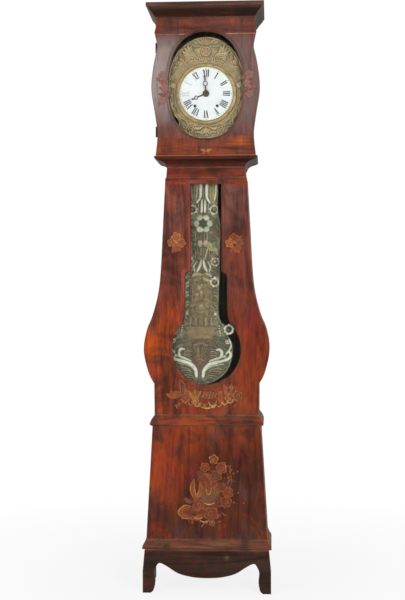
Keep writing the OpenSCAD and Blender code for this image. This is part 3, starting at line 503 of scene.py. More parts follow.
class Relief:
    """Upright sheet with raised forms: a height and a paint for each point of a grid."""

    def __init__(self, low, high, step, colour=(0, 0, 0), outline=None, deep=1.0):
        self.step = step
        # Share of its paint that a form keeps at its foot, where painted shading darkens it
        self.deep = deep
        self.u, self.v = np.meshgrid(np.arange(low[0], high[0] + step, step),
                                     np.arange(low[1], high[1] + step, step))
        self.height = np.zeros(self.u.shape)
        self.paint = np.zeros(self.u.shape + (3,)) + colour
        self.free = outline is None
        self.line = None
        self.cover = np.full(self.u.shape, UNCOVERED)
        if outline is not None:
            self.cover = inside_outline(outline, self.u, self.v)

    def window(self, low, high):
        """Part of the grid that holds a box."""
        cells = ((np.array((low, high)) - (self.u[0, 0], self.v[0, 0])) / self.step).astype(int)
        (left, bottom), (right, top) = np.maximum(cells + ((-2, -2), (4, 4)), 0)
        return slice(bottom, top), slice(left, right)

    def lay(self, area, inside, bump, colour, across=None, line_from=1.0):
        """Raise the points inside a form to its height, where they are lower.

        Paint is darker at the foot of a form than on its crest: painted shading, which keeps the share
        deep of the tone at the foot. Where the sheet has an outline colour, points far across a form
        take it.
        """
        height, cover, paint = self.height[area], self.cover[area], self.paint[area]
        if self.free:
            np.maximum(cover, inside, out=cover)
        on = (inside > 0) & (bump > height)
        height[on] = bump[on]
        # Painted shading: darker at a form's foot, full at its crest
        crest = np.clip(bump / max(bump.max(), 1e-6), 0, 1)
        paint[on] = np.array(colour) * (self.deep + (1 - self.deep) * crest ** 1.5)[on][:, None]
        if self.line is not None and line_from < 1:
            drawn = on & (across > line_from)
            paint[drawn] = self.line

    def trace(self, path, halves):
        """Reach inside a tapering path, place across it and place along it, near the path."""
        path = np.array(path, float)
        reach = max(halves) + 2 * self.step
        area = self.window(path.min(0) - reach, path.max(0) + reach)
        u, v = self.u[area], self.v[area]
        inside = np.full(u.shape, UNCOVERED)
        across = np.ones(u.shape)
        along = np.zeros(u.shape)
        run = run_along(path)
        run = run / run[-1]
        for k in range(len(path) - 1):
            t, off = to_segment(u, v, path[k], path[k + 1])
            half = halves[k] + (halves[k + 1] - halves[k]) * t
            nearer = half - off > inside
            inside[nearer] = (half - off)[nearer]
            across[nearer] = (off / half)[nearer]
            along[nearer] = (run[k] + (run[k + 1] - run[k]) * t)[nearer]
        return area, inside, across, along

    def rib(self, path, half, high, colour, taper=(1, 1)):
        """Half-round rib along a path."""
        halves = half * np.interp(np.linspace(0, 1, len(path)), np.linspace(0, 1, len(taper)), taper)
        area, inside, across, _ = self.trace(path, halves)
        self.lay(area, inside, high * half_round(across), colour)

    def stroke(self, points, half, high, colour, taper=(0.5, 1, 0.5)):
        """Rib along a smooth path, thinner at its ends unless the taper says otherwise."""
        self.rib(curve(points), half, high, colour, taper)

    def leaf(self, root, tip, half, high, colour, bend=0.0, veins=5):
        """Pointed leaf with a sunk midrib and raised veins."""
        path = bow(root, tip, bend)
        place = np.linspace(0, 1, len(path))
        halves = half * np.sin(np.pi * place ** 0.8) ** 0.8 + 0.4
        area, inside, across, along = self.trace(path, halves)
        midrib = 1 - 0.45 * np.exp(-(across / 0.18) ** 2)
        vein = 1 + 0.14 * np.cos(2 * np.pi * (veins * along - 1.2 * across))
        self.lay(area, inside, high * half_round(across) * midrib * vein, colour, across, 0.7)

    def boss(self, centre, half, high, colour, half_v=None, power=0.5):
        """Round or oval dome."""
        half_v = half_v or half
        centre = np.array(centre, float)
        area = self.window(centre - (half, half_v), centre + (half, half_v))
        reach = np.hypot((self.u[area] - centre[0]) / half, (self.v[area] - centre[1]) / half_v)
        dome = high * np.clip(1 - reach ** 2, 0, 1) ** power
        self.lay(area, (1 - reach) * min(half, half_v), dome, colour, reach, 0.82)

    def ring(self, centre, radius, half, high, colour, start=0, end=360):
        """Half-round ring or arc."""
        self.rib(around(centre, radius, start, end), half, high, colour)

    def scroll(self, centre, radius, start, turns, half, high, colour):
        """Volute that winds inwards to a small boss; a negative turn winds the other way."""
        t = np.linspace(0, 1, 28)
        angle = np.radians(start) + 2 * np.pi * turns * t
        reach = radius * (1 - 0.8 * t)
        path = np.column_stack((centre[0] + reach * np.cos(angle), centre[1] + reach * np.sin(angle)))
        self.rib(path, half, high, colour, (1, 0.7))
        self.boss(path[-1], 1.25 * half, 1.15 * high, colour)

    def flower(self, centre, radius, petals, high, colour, eye, turn=0.0):
        """Flower of pointed petals about an eye."""
        half = 0.988 * radius * math.sin(math.pi / petals)
        for k in range(petals):
            reach = radius * heading(turn + 360 * k / petals)
            self.leaf(centre + 0.12 * reach, centre + reach, half, high, colour, 0, 3)
        self.boss(centre, 0.3 * radius, 1.15 * high, eye)

    def rose(self, centre, radius, high, body, stroke, turn=0.0, lobes=5):
        """Flower of round petals with a light brush stroke on each, and two curls in its middle."""
        half = 0.11 * radius
        for k in range(lobes):
            angle = turn + 360 * k / lobes
            spot = around(centre, 0.58 * radius, angle, angle, 1)[0]
            self.boss(spot, 0.48 * radius, 0.7 * high, body)
            arc = around(spot, 0.36 * radius, angle - 95, angle + 95, 9)
            self.rib(arc, half, high, stroke, (0.3, 1, 1, 0.3))
        for share, start in ((0.36, turn), (0.14, turn + 150)):
            curl = around(centre, share * radius, start, start + 240, 14)
            self.rib(curl, half, 1.1 * high, stroke, (0.4, 1, 0.4))

    def rosette(self, centre, radius, lobes, high, colours, core, eye):
        """Lobed ring about a sunk disc with a dome in its middle."""
        for k, spot in enumerate(around(centre, 0.78 * radius, 10, 370 - 360 / lobes, lobes)):
            self.boss(spot, 0.25 * radius, high, colours[k % len(colours)])
        self.ring(centre, 0.7 * radius, 0.15 * radius, 0.85 * high, colours[0])
        self.boss(centre, 0.6 * radius, 0.35 * high, core, power=0.3)
        self.boss(np.array(centre) + (-0.06 * radius, 0.05 * radius), 0.26 * radius, 0.8 * high, eye)

    def chased(self, seed, count, colours, low, high, size=1.0, mirrored=True):
        """Ground of small low leaves, scattered the same way each time."""
        rng = np.random.default_rng(seed)
        for k in range(count):
            spot = rng.uniform(low, high)
            angle, length, bend, half, rise = rng.uniform((0, 9, -0.25, 2.6, 1.2), (360, 18, 0.25, 4.4, 2.6))
            tip = spot + size * length * heading(angle)
            for way in SIDES if mirrored else (1,):
                self.leaf((way * spot[0], spot[1]), (way * tip[0], tip[1]), size * half, rise,
                          colours[k % len(colours)], way * bend, 3)

    def fan(self, root, length, start, end, count, half, high, colours):
        """Leaves that spread from one root."""
        for k, angle in enumerate(np.linspace(start, end, count)):
            self.leaf(root, root + length * heading(angle), half, high, colours[k % len(colours)], 0, 4)

    def beads(self, path, half, high, colour, gap=2.3):
        """Row of small domes along a path."""
        path = np.array(path, float)
        run = run_along(path)
        for place in np.arange(half, run[-1], gap * half):
            self.boss([np.interp(place, run, axis) for axis in path.T], half, high, colour)

    def edge_bead(self, inset, half, high, colour):
        """Raised bead that follows the sheet's own outline."""
        off = np.abs(self.cover - inset) / half
        self.lay(WHOLE, np.where(off < 1, 1.0, -1.0), high * half_round(off), colour)

    def hole(self, centre, radius):
        self.cover = np.minimum(self.cover, np.hypot(self.u - centre[0], self.v - centre[1]) - radius)

    def drawn_in(self, inside):
        """Grid whose points just outside the outline are pulled onto it."""
        slope_v, slope_u = np.gradient(self.cover, self.step)
        steep = np.maximum(slope_u ** 2 + slope_v ** 2, 0.25)
        pull = np.where(inside, 0.0, np.clip(-self.cover, 0, 1.5 * self.step) / steep)
        return self.u + pull * slope_u, self.v + pull * slope_v

    def piece(self, name, front, back, material, body, slot, pressed=True, turn=None, soft=1):
        """Closed mesh of the sheet; a pressed back follows the front, another is flat.

        Turn is the level of a pivot and the angle by which the sheet hangs off it, and soft the
        rounds that blur the paint.
        """
        inside = self.cover > 0
        cell = inside[:-1, :-1] | inside[1:, :-1] | inside[:-1, 1:] | inside[1:, 1:]
        rows, columns = cell.shape
        used = np.zeros(inside.shape, bool)
        for i, j in ((0, 0), (0, 1), (1, 0), (1, 1)):
            used[i:rows + i, j:columns + j] |= cell
        count = int(used.sum())
        index = np.full(inside.shape, -1)
        index[used] = np.arange(count)
        u, v = (grid[used] for grid in self.drawn_in(inside))
        face_y = front - blurred(self.height, 1)[used]
        rear_y = face_y + (back - front) if pressed else np.full(count, back)
        verts = np.vstack([np.column_stack((u, y, v)) for y in (face_y, rear_y)])
        if turn:
            x, y, reach = (verts - (0, 0, turn[0])).T
            cos, sin = math.cos(turn[1]), math.sin(turn[1])
            verts = np.column_stack((x * cos + reach * sin, y, turn[0] + reach * cos - x * sin))
        i, j = np.nonzero(cell)
        quads = np.column_stack((index[i, j], index[i, j + 1], index[i + 1, j + 1], index[i + 1, j]))
        faces = [quads, quads[:, ::-1] + count]
        closed = np.pad(cell, 1)
        # Rim faces: the side of a cell that has no neighbour, and that side's two corners
        for di, dj, first, second in ((-1, 0, (0, 1), (0, 0)), (1, 0, (1, 0), (1, 1)),
                                      (0, -1, (0, 0), (1, 0)), (0, 1, (1, 1), (0, 1))):
            i, j = np.nonzero(cell & ~closed[1 + di:1 + di + rows, 1 + dj:1 + dj + columns])
            a = index[i + first[0], j + first[1]]
            b = index[i + second[0], j + second[1]]
            faces.append(np.column_stack((a, b, b + count, a + count)))
        obj = add_piece(name, verts, np.vstack(faces).tolist(), material, body, slot)
        # How far each point lies below its neighbours; finishes darken hollows by it with grime and painted
        # shade
        hollow = np.clip(0.5 + (blurred(self.height, HOLLOW_ROUNDS) - self.height) / HOLLOW_DEPTH, 0, 1)
        paint = np.dstack([blurred(self.paint[..., k], soft) for k in range(3)])
        colours = np.column_stack((paint[used], np.ones(count)))
        for key, kind, field, values in (("paint", "FLOAT_COLOR", "color", np.vstack((colours, colours))),
                                         ("hollow", "FLOAT", "value", np.tile(hollow[used], 2))):
            obj.data.attributes.new(key, kind, "POINT").data.foreach_set(field, values.ravel())
        return obj


def ring_faces(count, size, closed=True):
    """Quads between rings of points and the next; a closed run joins the last to the first."""
    faces = []
    for k in range(count if closed else count - 1):
        a, b = k * size, (k + 1) % count * size
        for i in range(size):
            n = (i + 1) % size
            faces.append((a + i, a + n, b + n, b + i))
    return faces


def swept(name, rings, material, body, slot):
    """Closed tube whose rings are flat outlines, each given with its depth."""
    size = len(rings[0][0])
    verts = np.vstack([np.column_stack((flat[:, 0], np.full(size, y), flat[:, 1])) for flat, y in rings])
    return add_piece(name, verts, ring_faces(len(rings), size), material, body, slot)


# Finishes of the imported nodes
WOOD = painted_grain("painted_grain")
WOOD_DOOR = painted_grain("painted_grain_door", rails=((1.70, 1.776), (2.186, 2.25)),
                          lines=((1.708, 1.7115), (2.1795, 2.183)))
WOOD_TRUNK = painted_grain("painted_grain_trunk", rails=((1.598, 1.64),))
# Rim whose left side carries painted light
WOOD_RIM = painted_grain("painted_grain_rim", rim_light=0.5)
WOOD_SHELL = painted_grain("painted_grain_shell", closed=True)
WOOD_ACROSS = painted_grain("painted_grain_across", across=True)
PINE = bare_pine("bare_pine")
PINE_ACROSS = bare_pine("bare_pine_across", (1.8, 34, 34))
BRASS = aged_brass("aged_brass")
DULL_BRASS = aged_brass("dull_brass", tone(177, 156, 115), tone(132, 115, 83), 0.5)
IRON = forged_iron("forged_iron")
GLASS = old_glass("old_glass")
GLAZE = {"Coat Weight": 0.1, "Coat Roughness": 0.08, "Specular IOR Level": 0.25}
ENAMEL = two_tone("enamel_white", tone(234, 237, 240), tone(243, 246, 249), 28, 4, 0.16, coat=GLAZE)
CREAM_ENAMEL = two_tone("enamel_cream", tone(240, 234, 206), tone(250, 246, 224), 28, 4, 0.16, coat=GLAZE)
COPPER = two_tone("browned_copper", tone(70, 52, 48), tone(98, 74, 66), 90, 4, 0.45, 0.4)
GUT = two_tone("gut_line", tone(112, 92, 68), tone(158, 138, 108), 1.0, 2, 0.7, stretch=(900, 900, 260))
NUMERALS = two_tone("numeral_black", tone(34, 33, 36), tone(66, 66, 72), 60, 3, 0.3, end=0.75)
# Pale grey for the numerals under the glass's glare, a painted reflection
NUMERALS_UNDER_GLARE = two_tone("numerals_under_glare", tone(194, 196, 202), tone(222, 225, 229), 60, 3, 0.3, end=0.75)
# Relief finishes: grime and painted shade in the hollows, wear and painted highlight on the high places
PRESSED = coloured_relief("pressed_brass", 0.3, 0.5, tone(88, 74, 52),
                          stains=(tone(126, 128, 100), tone(176, 142, 116)))
PAINTED_SHEET = coloured_relief("painted_sheet", 0.1, 0.55, tone(50, 47, 36), dirt=0.6)
CARVED = coloured_relief("carved_ornament", 0.0, 0.6, tone(98, 48, 28), 90.0, 0.0, 0.5)
CARVED_DIM = coloured_relief("carved_ornament_dim", 0.0, 0.6, tone(114, 87, 83), 90.0, 0.0, 0.72)

NODE_FINISH = {
    WOOD: "trunk_bead hood_door_bead base_front_panel door_hinge_leaves case_hinge_leaves",
    WOOD_DOOR: "hood_door",
    WOOD_TRUNK: "trunk_front",
    WOOD_SHELL: "base_side_panels trunk_side_panels hood_side_panels",
    WOOD_ACROSS: "front_apron side_aprons base_moulding waist_moulding neck_board hood_base_moulding cornice",
    PINE: "base_back_board trunk_back_board hood_back_board",
    PINE_ACROSS: "base_floor hood_top_board seat_board",
    BRASS: "bell minute_wheel hour_wheel going_great_wheel going_second_wheel going_third_wheel escape_wheel "
           "strike_great_wheel strike_pin_wheel warning_wheel strike_fly",
    DULL_BRASS: "dial_pediment dial_bezel",
    IRON: "cage_bottom_plate cage_top_plate cage_pillars train_bars centre_post pendulum_cocks bell_stand "
          "hammer going_drum strike_drum pallet_anchor pendulum_rod pendulum_bob going_weight strike_weight "
          "pendulum_sheet",
    GLASS: "hood_door_glass trunk_glass",
    ENAMEL: "enamel_dial",
    COPPER: "minute_hand hour_hand minute_cannon",
    GUT: "going_line strike_line",
}
for finish, names in NODE_FINISH.items():
    for name in names.split():
        mesh = nodes[name].data
        mesh.materials.clear()
        mesh.materials.append(finish)

# Moulded rims of the two openings, swept over the stepped wood


def hood_opening(grow, count=144):
    """Outline of the hood door's opening, widened by grow."""
    half_x, half_z, centre_z, fullness = 145.0, 208.0, 1984.0, 2 / 2.3
    angle = np.linspace(0, 2 * math.pi, count, endpoint=False)
    x = (half_x + grow) * np.sign(np.cos(angle)) * np.abs(np.cos(angle)) ** fullness
    z = (half_z + grow) * np.sign(np.sin(angle)) * np.abs(np.sin(angle)) ** fullness
    return np.column_stack((x, centre_z + z))


def trunk_window(grow):
    """Outline of the trunk's keyhole window, widened by grow."""
    round_z, round_a, round_b = 952.0, 135.0, 140.0
    middle, narrow, step_z, top_z = 83.0, 60.0, 1255.0, 1600.0
    step_r = middle - narrow
    bowl = [((round_a + grow) * math.cos(a), round_z + (round_b + grow) * math.sin(a))
            for a in np.radians(np.arange(-88, 41, 4))]
    shoulder = [(middle + 6 + grow, round_z + 111), (middle + grow, round_z + 144)]
    step = [(narrow + grow + step_r * math.cos(a), step_z + grow - step_r + step_r * math.sin(a))
            for a in np.radians(np.arange(0, 91, 10))]
    return np.array(both_sides(bowl + shoulder + step + [(narrow + grow, top_z + grow)]))


# Section of a lip, from the front face down to the opening's edge: share of its width, and depth
LIP = ((1.02, -0.4), (0.97, -1.2), (0.86, -1.6), (0.74, -1.2), (0.66, 0.2), (0.6, 0.5), (0.5, 0.6),
       (0.36, 1.2), (0.22, 2.6), (0.1, 4.6), (0.02, 7.0), (-0.03, 9.8), (0.03, 9.9), (0.05, 6.2),
       (0.46, 5.9), (0.54, 3.1), (0.97, 2.9))


def moulded_rim(name, outline, width, front, body, finish):
    """Rounded lip round an opening."""
    rings = [(outline(share * width), front + depth) for share, depth in LIP]
    swept(name, rings, finish, body, "painted_wood")


moulded_rim("trunk_window_rim", trunk_window, 16.0, TRUNK_FRONT, "trunk_front", WOOD_RIM)
moulded_rim("hood_opening_rim", hood_opening, 11.0, HOOD_FRONT, "hood_door", WOOD)

# Weight lines of twisted gut, each built at one length; in the clock they shorten as the weights rise


def weight_line(side, node):
    """Line from the weight's hook up to its drum."""
    turns_per_ring, ring_gap, sides, half, lay = 0.16, 6.0, 8, 1.5, 0.22
    angle = np.arange(sides) * 2 * math.pi / sides
    rings = []
    for k, z in enumerate(np.arange(LINE_FOOT, WINDING_Z + ring_gap / 2, ring_gap)):
        reach = half - lay + lay * np.cos(2 * (angle + 2 * math.pi * turns_per_ring * k))
        rings.append(np.column_stack((side * LINE_X + reach * np.cos(angle),
                                      LINE_Y + reach * np.sin(angle), np.full(sides, z))))
    foot = np.arange(sides)
    head = foot + (len(rings) - 1) * sides
    faces = [foot[::-1].tolist(), *ring_faces(len(rings), sides, closed=False), head.tolist()]
    line = add_piece(node + "_gut", np.vstack(rings), faces, GUT, "case", "line_cord")
    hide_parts(node)
    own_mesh(line)


weight_line(1, "going_line")
weight_line(-1, "strike_line")

# Enamel dial: domed, with holes, numerals and a minute track
DIAL_R, DIAL_RISE, DIAL_EDGE = 105.0, 3.0, 3.0
CENTRE_HOLE = 10.0
THICK, THIN = 4.8, 1.5
NUMERAL_FOOT, NUMERAL_HEAD, FOOT_SQUEEZE = 66.0, 95.0, 0.82
ROMAN = ("XII", "I", "II", "III", "IIII", "V", "VI", "VII", "VIII", "IX", "X", "XI")
# Hours whose numerals are painted pale, as a painted reflection on the hood glass
HOURS_UNDER_GLARE = ("IX", "X")
LETTER_WIDTH = {"I": 7.4, "V": 13.6, "X": 14.0}


def dome(radius):
    """Front of the enamel at a distance from its centre."""
    return DIAL_FRONT - DIAL_EDGE - DIAL_RISE * (1 - (radius / DIAL_R) ** 2)


def enamel_plate():
    """Domed plate with a low lip round each winding hole."""
    step, spare, hole, lip, lip_half, lip_rise = 1.5, DIAL_R + 2, 6.0, 7.5, 1.6, 0.6
    plate = Relief((-spare, DIAL_Z - spare), (spare, DIAL_Z + spare), step,
                   outline=around((0, DIAL_Z), DIAL_R, 0, 357.5, 144))
    reach = np.hypot(plate.u, plate.v - DIAL_Z)
    plate.height = DIAL_FRONT - dome(np.minimum(reach, DIAL_R))
    plate.hole((0, DIAL_Z), CENTRE_HOLE)
    for x in (-WINDING_X, WINDING_X):
        spot = np.hypot(plate.u - x, plate.v - WINDING_Z)
        plate.height += lip_rise * np.exp(-((spot - lip) / lip_half) ** 2)
        plate.hole((x, WINDING_Z), hole)
    obj = plate.piece("enamel_dial_dome", DIAL_FRONT, DIAL_FRONT - 0.1, ENAMEL, "case", "enamel",
                      pressed=False)
    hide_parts("enamel_dial")


def dial_stroke(verts, faces, corners):
    """Raised stroke on the dome: a flat patch given by four corners, with thickness."""
    thick, sunk, parts, sides = 0.25, -0.3, 5, 4
    base = len(verts)
    a, b, c, d = np.array(corners, float)
    for t in np.linspace(0, 1, parts):
        near, far = a + (d - a) * t, b + (c - b) * t
        for (u, w), lift in ((near, thick), (far, thick), (far, sunk), (near, sunk)):
            verts.append((u, dome(math.hypot(u, w)) - lift, DIAL_Z + w))
    end = sides * (parts - 1)
    caps = [(0, 3, 2, 1), (end, end + 1, end + 2, end + 3)]
    faces.extend([base + i for i in face] for face in ring_faces(parts, sides, closed=False) + caps)


def slant(foot, head, width, low=0.0, high=1.0):
    """Corners of a stroke, from the left of its foot and of its head."""
    return (foot, low), (foot + width, low), (head + width, high), (head, high)


def letter_strokes(letter, left):
    """Strokes of one roman letter as corners in a box from 0 to 1 in height."""
    inset, serif, deep = 1.0, 5.4, 0.06
    right = left + LETTER_WIDTH[letter]
    starts, levels = (left, right - serif), (0, 1 - deep)
    if letter == "I":
        stem = (left + right) / 2 - THICK / 2
        strokes = [slant(stem, stem, THICK)]
        starts, serif = (left + inset,), right - left - 2 * inset
    elif letter == "V":
        tip = left + 0.55 * LETTER_WIDTH[letter]
        strokes = [slant(tip - THICK / 2, left + inset, THICK),
                   slant(tip - THIN / 2, right - inset - THIN, THIN)]
        levels = (1 - deep,)
    else:
        strokes = [slant(right - inset - THICK, left + inset, THICK),
                   slant(left + inset, right - inset - THIN, THIN)]
    return strokes + [slant(start, start, serif, level, level + deep) for level in levels for start in starts]


def dial_marks():
    """Numerals that stand on the dial's centre, those paled by painted glare apart, and a minute track."""
    black_marks, lighter = ([], []), ([], [])
    for hour, word in enumerate(ROMAN):
        cos, sin = heading(-30 * hour)
        left = -sum(LETTER_WIDTH[c] for c in word) / 2
        for letter in word:
            for corners in letter_strokes(letter, left):
                placed = []
                for across, up in corners:
                    x = across * (FOOT_SQUEEZE + (1 - FOOT_SQUEEZE) * up)
                    z = NUMERAL_FOOT + (NUMERAL_HEAD - NUMERAL_FOOT) * up
                    placed.append((x * cos - z * sin, x * sin + z * cos))
                dial_stroke(*(lighter if word in HOURS_UNDER_GLARE else black_marks), placed)
            left += LETTER_WIDTH[letter]
    for minute in range(60):
        angle = math.radians(6 * minute)
        half, inner, outer = (0.006, 99.4, 101.6) if minute % 5 else (0.014, 98.4, 102.4)
        corners = ((-half, inner), (half, inner), (half, outer), (-half, outer))
        dial_stroke(*black_marks, [(r * math.sin(angle + a), r * math.cos(angle + a)) for a, r in corners])
    add_piece("dial_numerals", *black_marks, NUMERALS, "case", "enamel", smooth=False)
    add_piece("dial_numerals_under_glare", *lighter, NUMERALS_UNDER_GLARE, "case", "enamel", smooth=False)


def dial_rim():
    """Pale bead between the enamel and its bezel."""
    radius, half, sunk = 103.4, 1.5, 0.3
    rings = []
    for angle in np.radians(np.arange(0, 360, 15)):
        flat = around((0, DIAL_Z), radius + half * math.cos(angle), 0, 357, 120)
        rings.append((flat, dome(DIAL_R) - sunk - half * math.sin(angle)))
    swept("dial_rim", rings, CREAM_ENAMEL, "case", "enamel")


enamel_plate()
dial_marks()
dial_rim()


# Pressed brass pediment round the dial
GILT = tone(197, 172, 127)
PALE_GILT = tone(221, 198, 156)
OLD_GILT = tone(182, 158, 117)
DUSKY_GILT = tone(142, 122, 89)
ROSY_GILT = tone(190, 152, 122)
GREEN_GILT = tone(153, 149, 115)


def pediment_outline():
    panel, crest, ear_drop = 108.0, 149.0, 84.0
    foot, spring, rise = 1774.0, DIAL_Z + 54, 171.0
    ear = DIAL_Z - ear_drop
    side = curve([(panel, ear - 24), (panel + 16, ear - 2), (crest - 12, ear + 24), (crest - 4, ear + 52),
                  (crest, ear + ear_drop)], 4)
    top = around((0, 0), 1.0, 0, 84, 29)
    return both_sides([(panel, foot)] + side + [(crest * c, spring + rise * s) for c, s in top])


# Acanthus leaves of the crest: length and angle
ACANTHUS = ((48, 2), (54, 20), (52, 40), (46, 60), (36, 82))
# Scrolls of the right half, from the dial's centre: place, radius, start, turns and colour
PEDIMENT_SCROLLS = (
    ((40, 138), 12, 0, 1.3, GILT), ((72, 136), 10, 150, -1.2, GILT), ((100, 150), 9, 20, 1.2, OLD_GILT),
    ((118, 122), 9, 200, -1.2, GILT), ((60, -140), 14, 180, -1.35, GILT), ((90, -126), 10, 30, 1.2, OLD_GILT),
    ((137, 62), 8, 90, 1.2, PALE_GILT), ((138, -6), 7, 270, -1.2, GILT))
# Leaves of the right half, from the dial's centre: root, tip, half width, colour and bend
PEDIMENT_LEAVES = (
    ((88, 126), (106, 138), 5, OLD_GILT, 0.2), ((104, 160), (86, 178), 5, GILT, -0.1),
    ((112, 104), (134, 96), 5, GILT, 0.2), ((124, 132), (112, 148), 5, PALE_GILT, 0.1),
    ((136, 84), (126, 112), 5, OLD_GILT, 0.15), ((22, 188), (62, 204), 6, GREEN_GILT, -0.18),
    ((60, 196), (88, 184), 5, OLD_GILT, 0.15), ((20, 198), (46, 214), 5, GILT, 0.15),
    ((96, -96), (74, -116), 6, GILT, -0.16), ((44, -132), (16, -130), 5, PALE_GILT, 0.2),
    ((40, -152), (12, -158), 5, GILT, -0.2), ((104, -96), (104, -128), 5, OLD_GILT, 0.1))


def pediment_half(r, side):
    """Forms of one half, placed from the dial's centre."""
    def at(place):
        return side * place[0], DIAL_Z + place[1]

    for k, (length, angle) in enumerate(ACANTHUS):
        root = np.array((40, 152)) + 3 * k
        tip = root + length * heading(angle) * (1, 0.75)
        r.leaf(at(root), at(tip), 7.6 - k * 0.5, 5.2, (GILT, PALE_GILT)[k % 2], -0.16 * side, 6)
    for place, radius, start, turns, colour in PEDIMENT_SCROLLS:
        r.scroll(at(place), radius, 90 - side * (90 - start), side * turns, 2.8, 4.2, colour)
    for root, tip, half, colour, bend in PEDIMENT_LEAVES:
        r.leaf(at(root), at(tip), half, 4.4, colour, bend * side, 5)
    r.flower(at((132, 34)), 11, 6, 3.8, PALE_GILT, DUSKY_GILT, 15)
    for k in range(5):
        root, tip = (136, 2 - 17 * k), (134 + 5 * (k % 2), 20 - 17 * k)
        r.leaf(at(root), at(tip), 4.0, 3.2, (OLD_GILT, GILT)[k % 2], 0.15 * side, 4)
    for k in range(7):
        flute = [at((68 + 5.5 * k, -150)), at((65 + 5.8 * k, -168))]
        r.rib(flute, 1.9, 2.6, (GILT, OLD_GILT)[k % 2])
    r.boss(at((114, 118)), 5, 3.8, ROSY_GILT)


def pediment():
    """Two halves on a chased ground, a palmette above the dial and a shell below it."""
    z = DIAL_Z
    ground = (OLD_GILT, GILT, DUSKY_GILT, ROSY_GILT, OLD_GILT, GREEN_GILT)
    r = Relief((-152, 1772), (152, 2184), SHEET_STEP, OLD_GILT, pediment_outline(), deep=0.62)
    r.chased(11, 420, ground, (0, 1776), (146, 2178), 0.7)
    r.edge_bead(3.6, 2.4, 2.6, GILT)
    r.ring((0, z), 126.0, 1.8, 2.2, GILT)
    r.beads(around((0, z), 131.5, 30, 150, 70), 1.9, 2.4, PALE_GILT)
    for side in SIDES:
        pediment_half(r, side)
    r.fan((0, z + 192), 27, 25, 155, 7, 4.4, 5.0, (ROSY_GILT, GILT))
    r.ring((0, z + 166), 17, 2.6, 4.2, GILT)
    r.flower((0, z + 166), 14, 6, 4.4, ROSY_GILT, DUSKY_GILT, 30)
    for angle in np.linspace(-0.3, 0.3, 11):
        ray = np.array((math.sin(angle), math.cos(angle)))
        r.rib([(0, z) + 135.5 * ray, (0, z) + 142 * ray], 1.4, 2.4, PALE_GILT)
    r.fan((0, z - 136), 24, -150, -30, 5, 4.4, 4.4, (GILT, PALE_GILT))
    r.boss((0, z - 134), 5, 4.8, ROSY_GILT)
    r.beads([(-34, z - 172), (34, z - 172)], 2.4, 2.8, PALE_GILT, 2.5)
    # Flat seat of the dial, with its holes
    r.height[np.hypot(r.u, r.v - z) < 122.5] = 0
    r.hole((0, z), CENTRE_HOLE)
    for side in SIDES:
        r.hole((side * WINDING_X, WINDING_Z), 7.0)
    r.piece("pressed_pediment", DIAL_FRONT - SHEET_PROUD, DIAL_FRONT - SHEET_BACK, PRESSED, "case",
            "aged_brass")


# Painted and pressed pendulum sheet
WHITE = tone(224, 219, 201)
BRIGHT = tone(243, 239, 223)
PALE = tone(196, 191, 168)
ASH = tone(154, 147, 128)
STONE = tone(114, 107, 88)
OLIVE = tone(157, 148, 102)
YELLOW = tone(190, 177, 124)
TAN = tone(148, 126, 94)
BROWN = tone(120, 99, 80)
LEAF_GREEN = tone(110, 117, 90)
MINT = tone(185, 194, 166)
TEAL = tone(92, 112, 98)
PINK = tone(192, 171, 154)
SAND = tone(176, 155, 121)
SHADE = tone(84, 80, 60)


def sheet_outline():
    half, top_half, top_z, bob = 70.0, 57.0, 1638.0, 129.0
    neck, step, shoulder_r = BOB_Z + 150, 1441.0, 22.0
    upper = curve([(top_half - 22, top_z), (top_half - 3, top_z - 24), (top_half, top_z - 80),
                   (top_half + 1, step + 40), (half, step), (half, (step + neck) / 2),
                   (half - 2, neck + 20), (half + 8, neck - 30)], 4)
    shoulder = around((bob - 18, BOB_Z + 90), shoulder_r, 140, -100, 21)
    lower = curve([(bob - 6, BOB_Z + 42), (bob, BOB_Z), (bob - 18, BOB_Z - 68), (bob / 2, BOB_Z - 114),
                   (10, BOB_Z - bob)], 4)
    return both_sides(list(upper) + list(shoulder) + list(lower))


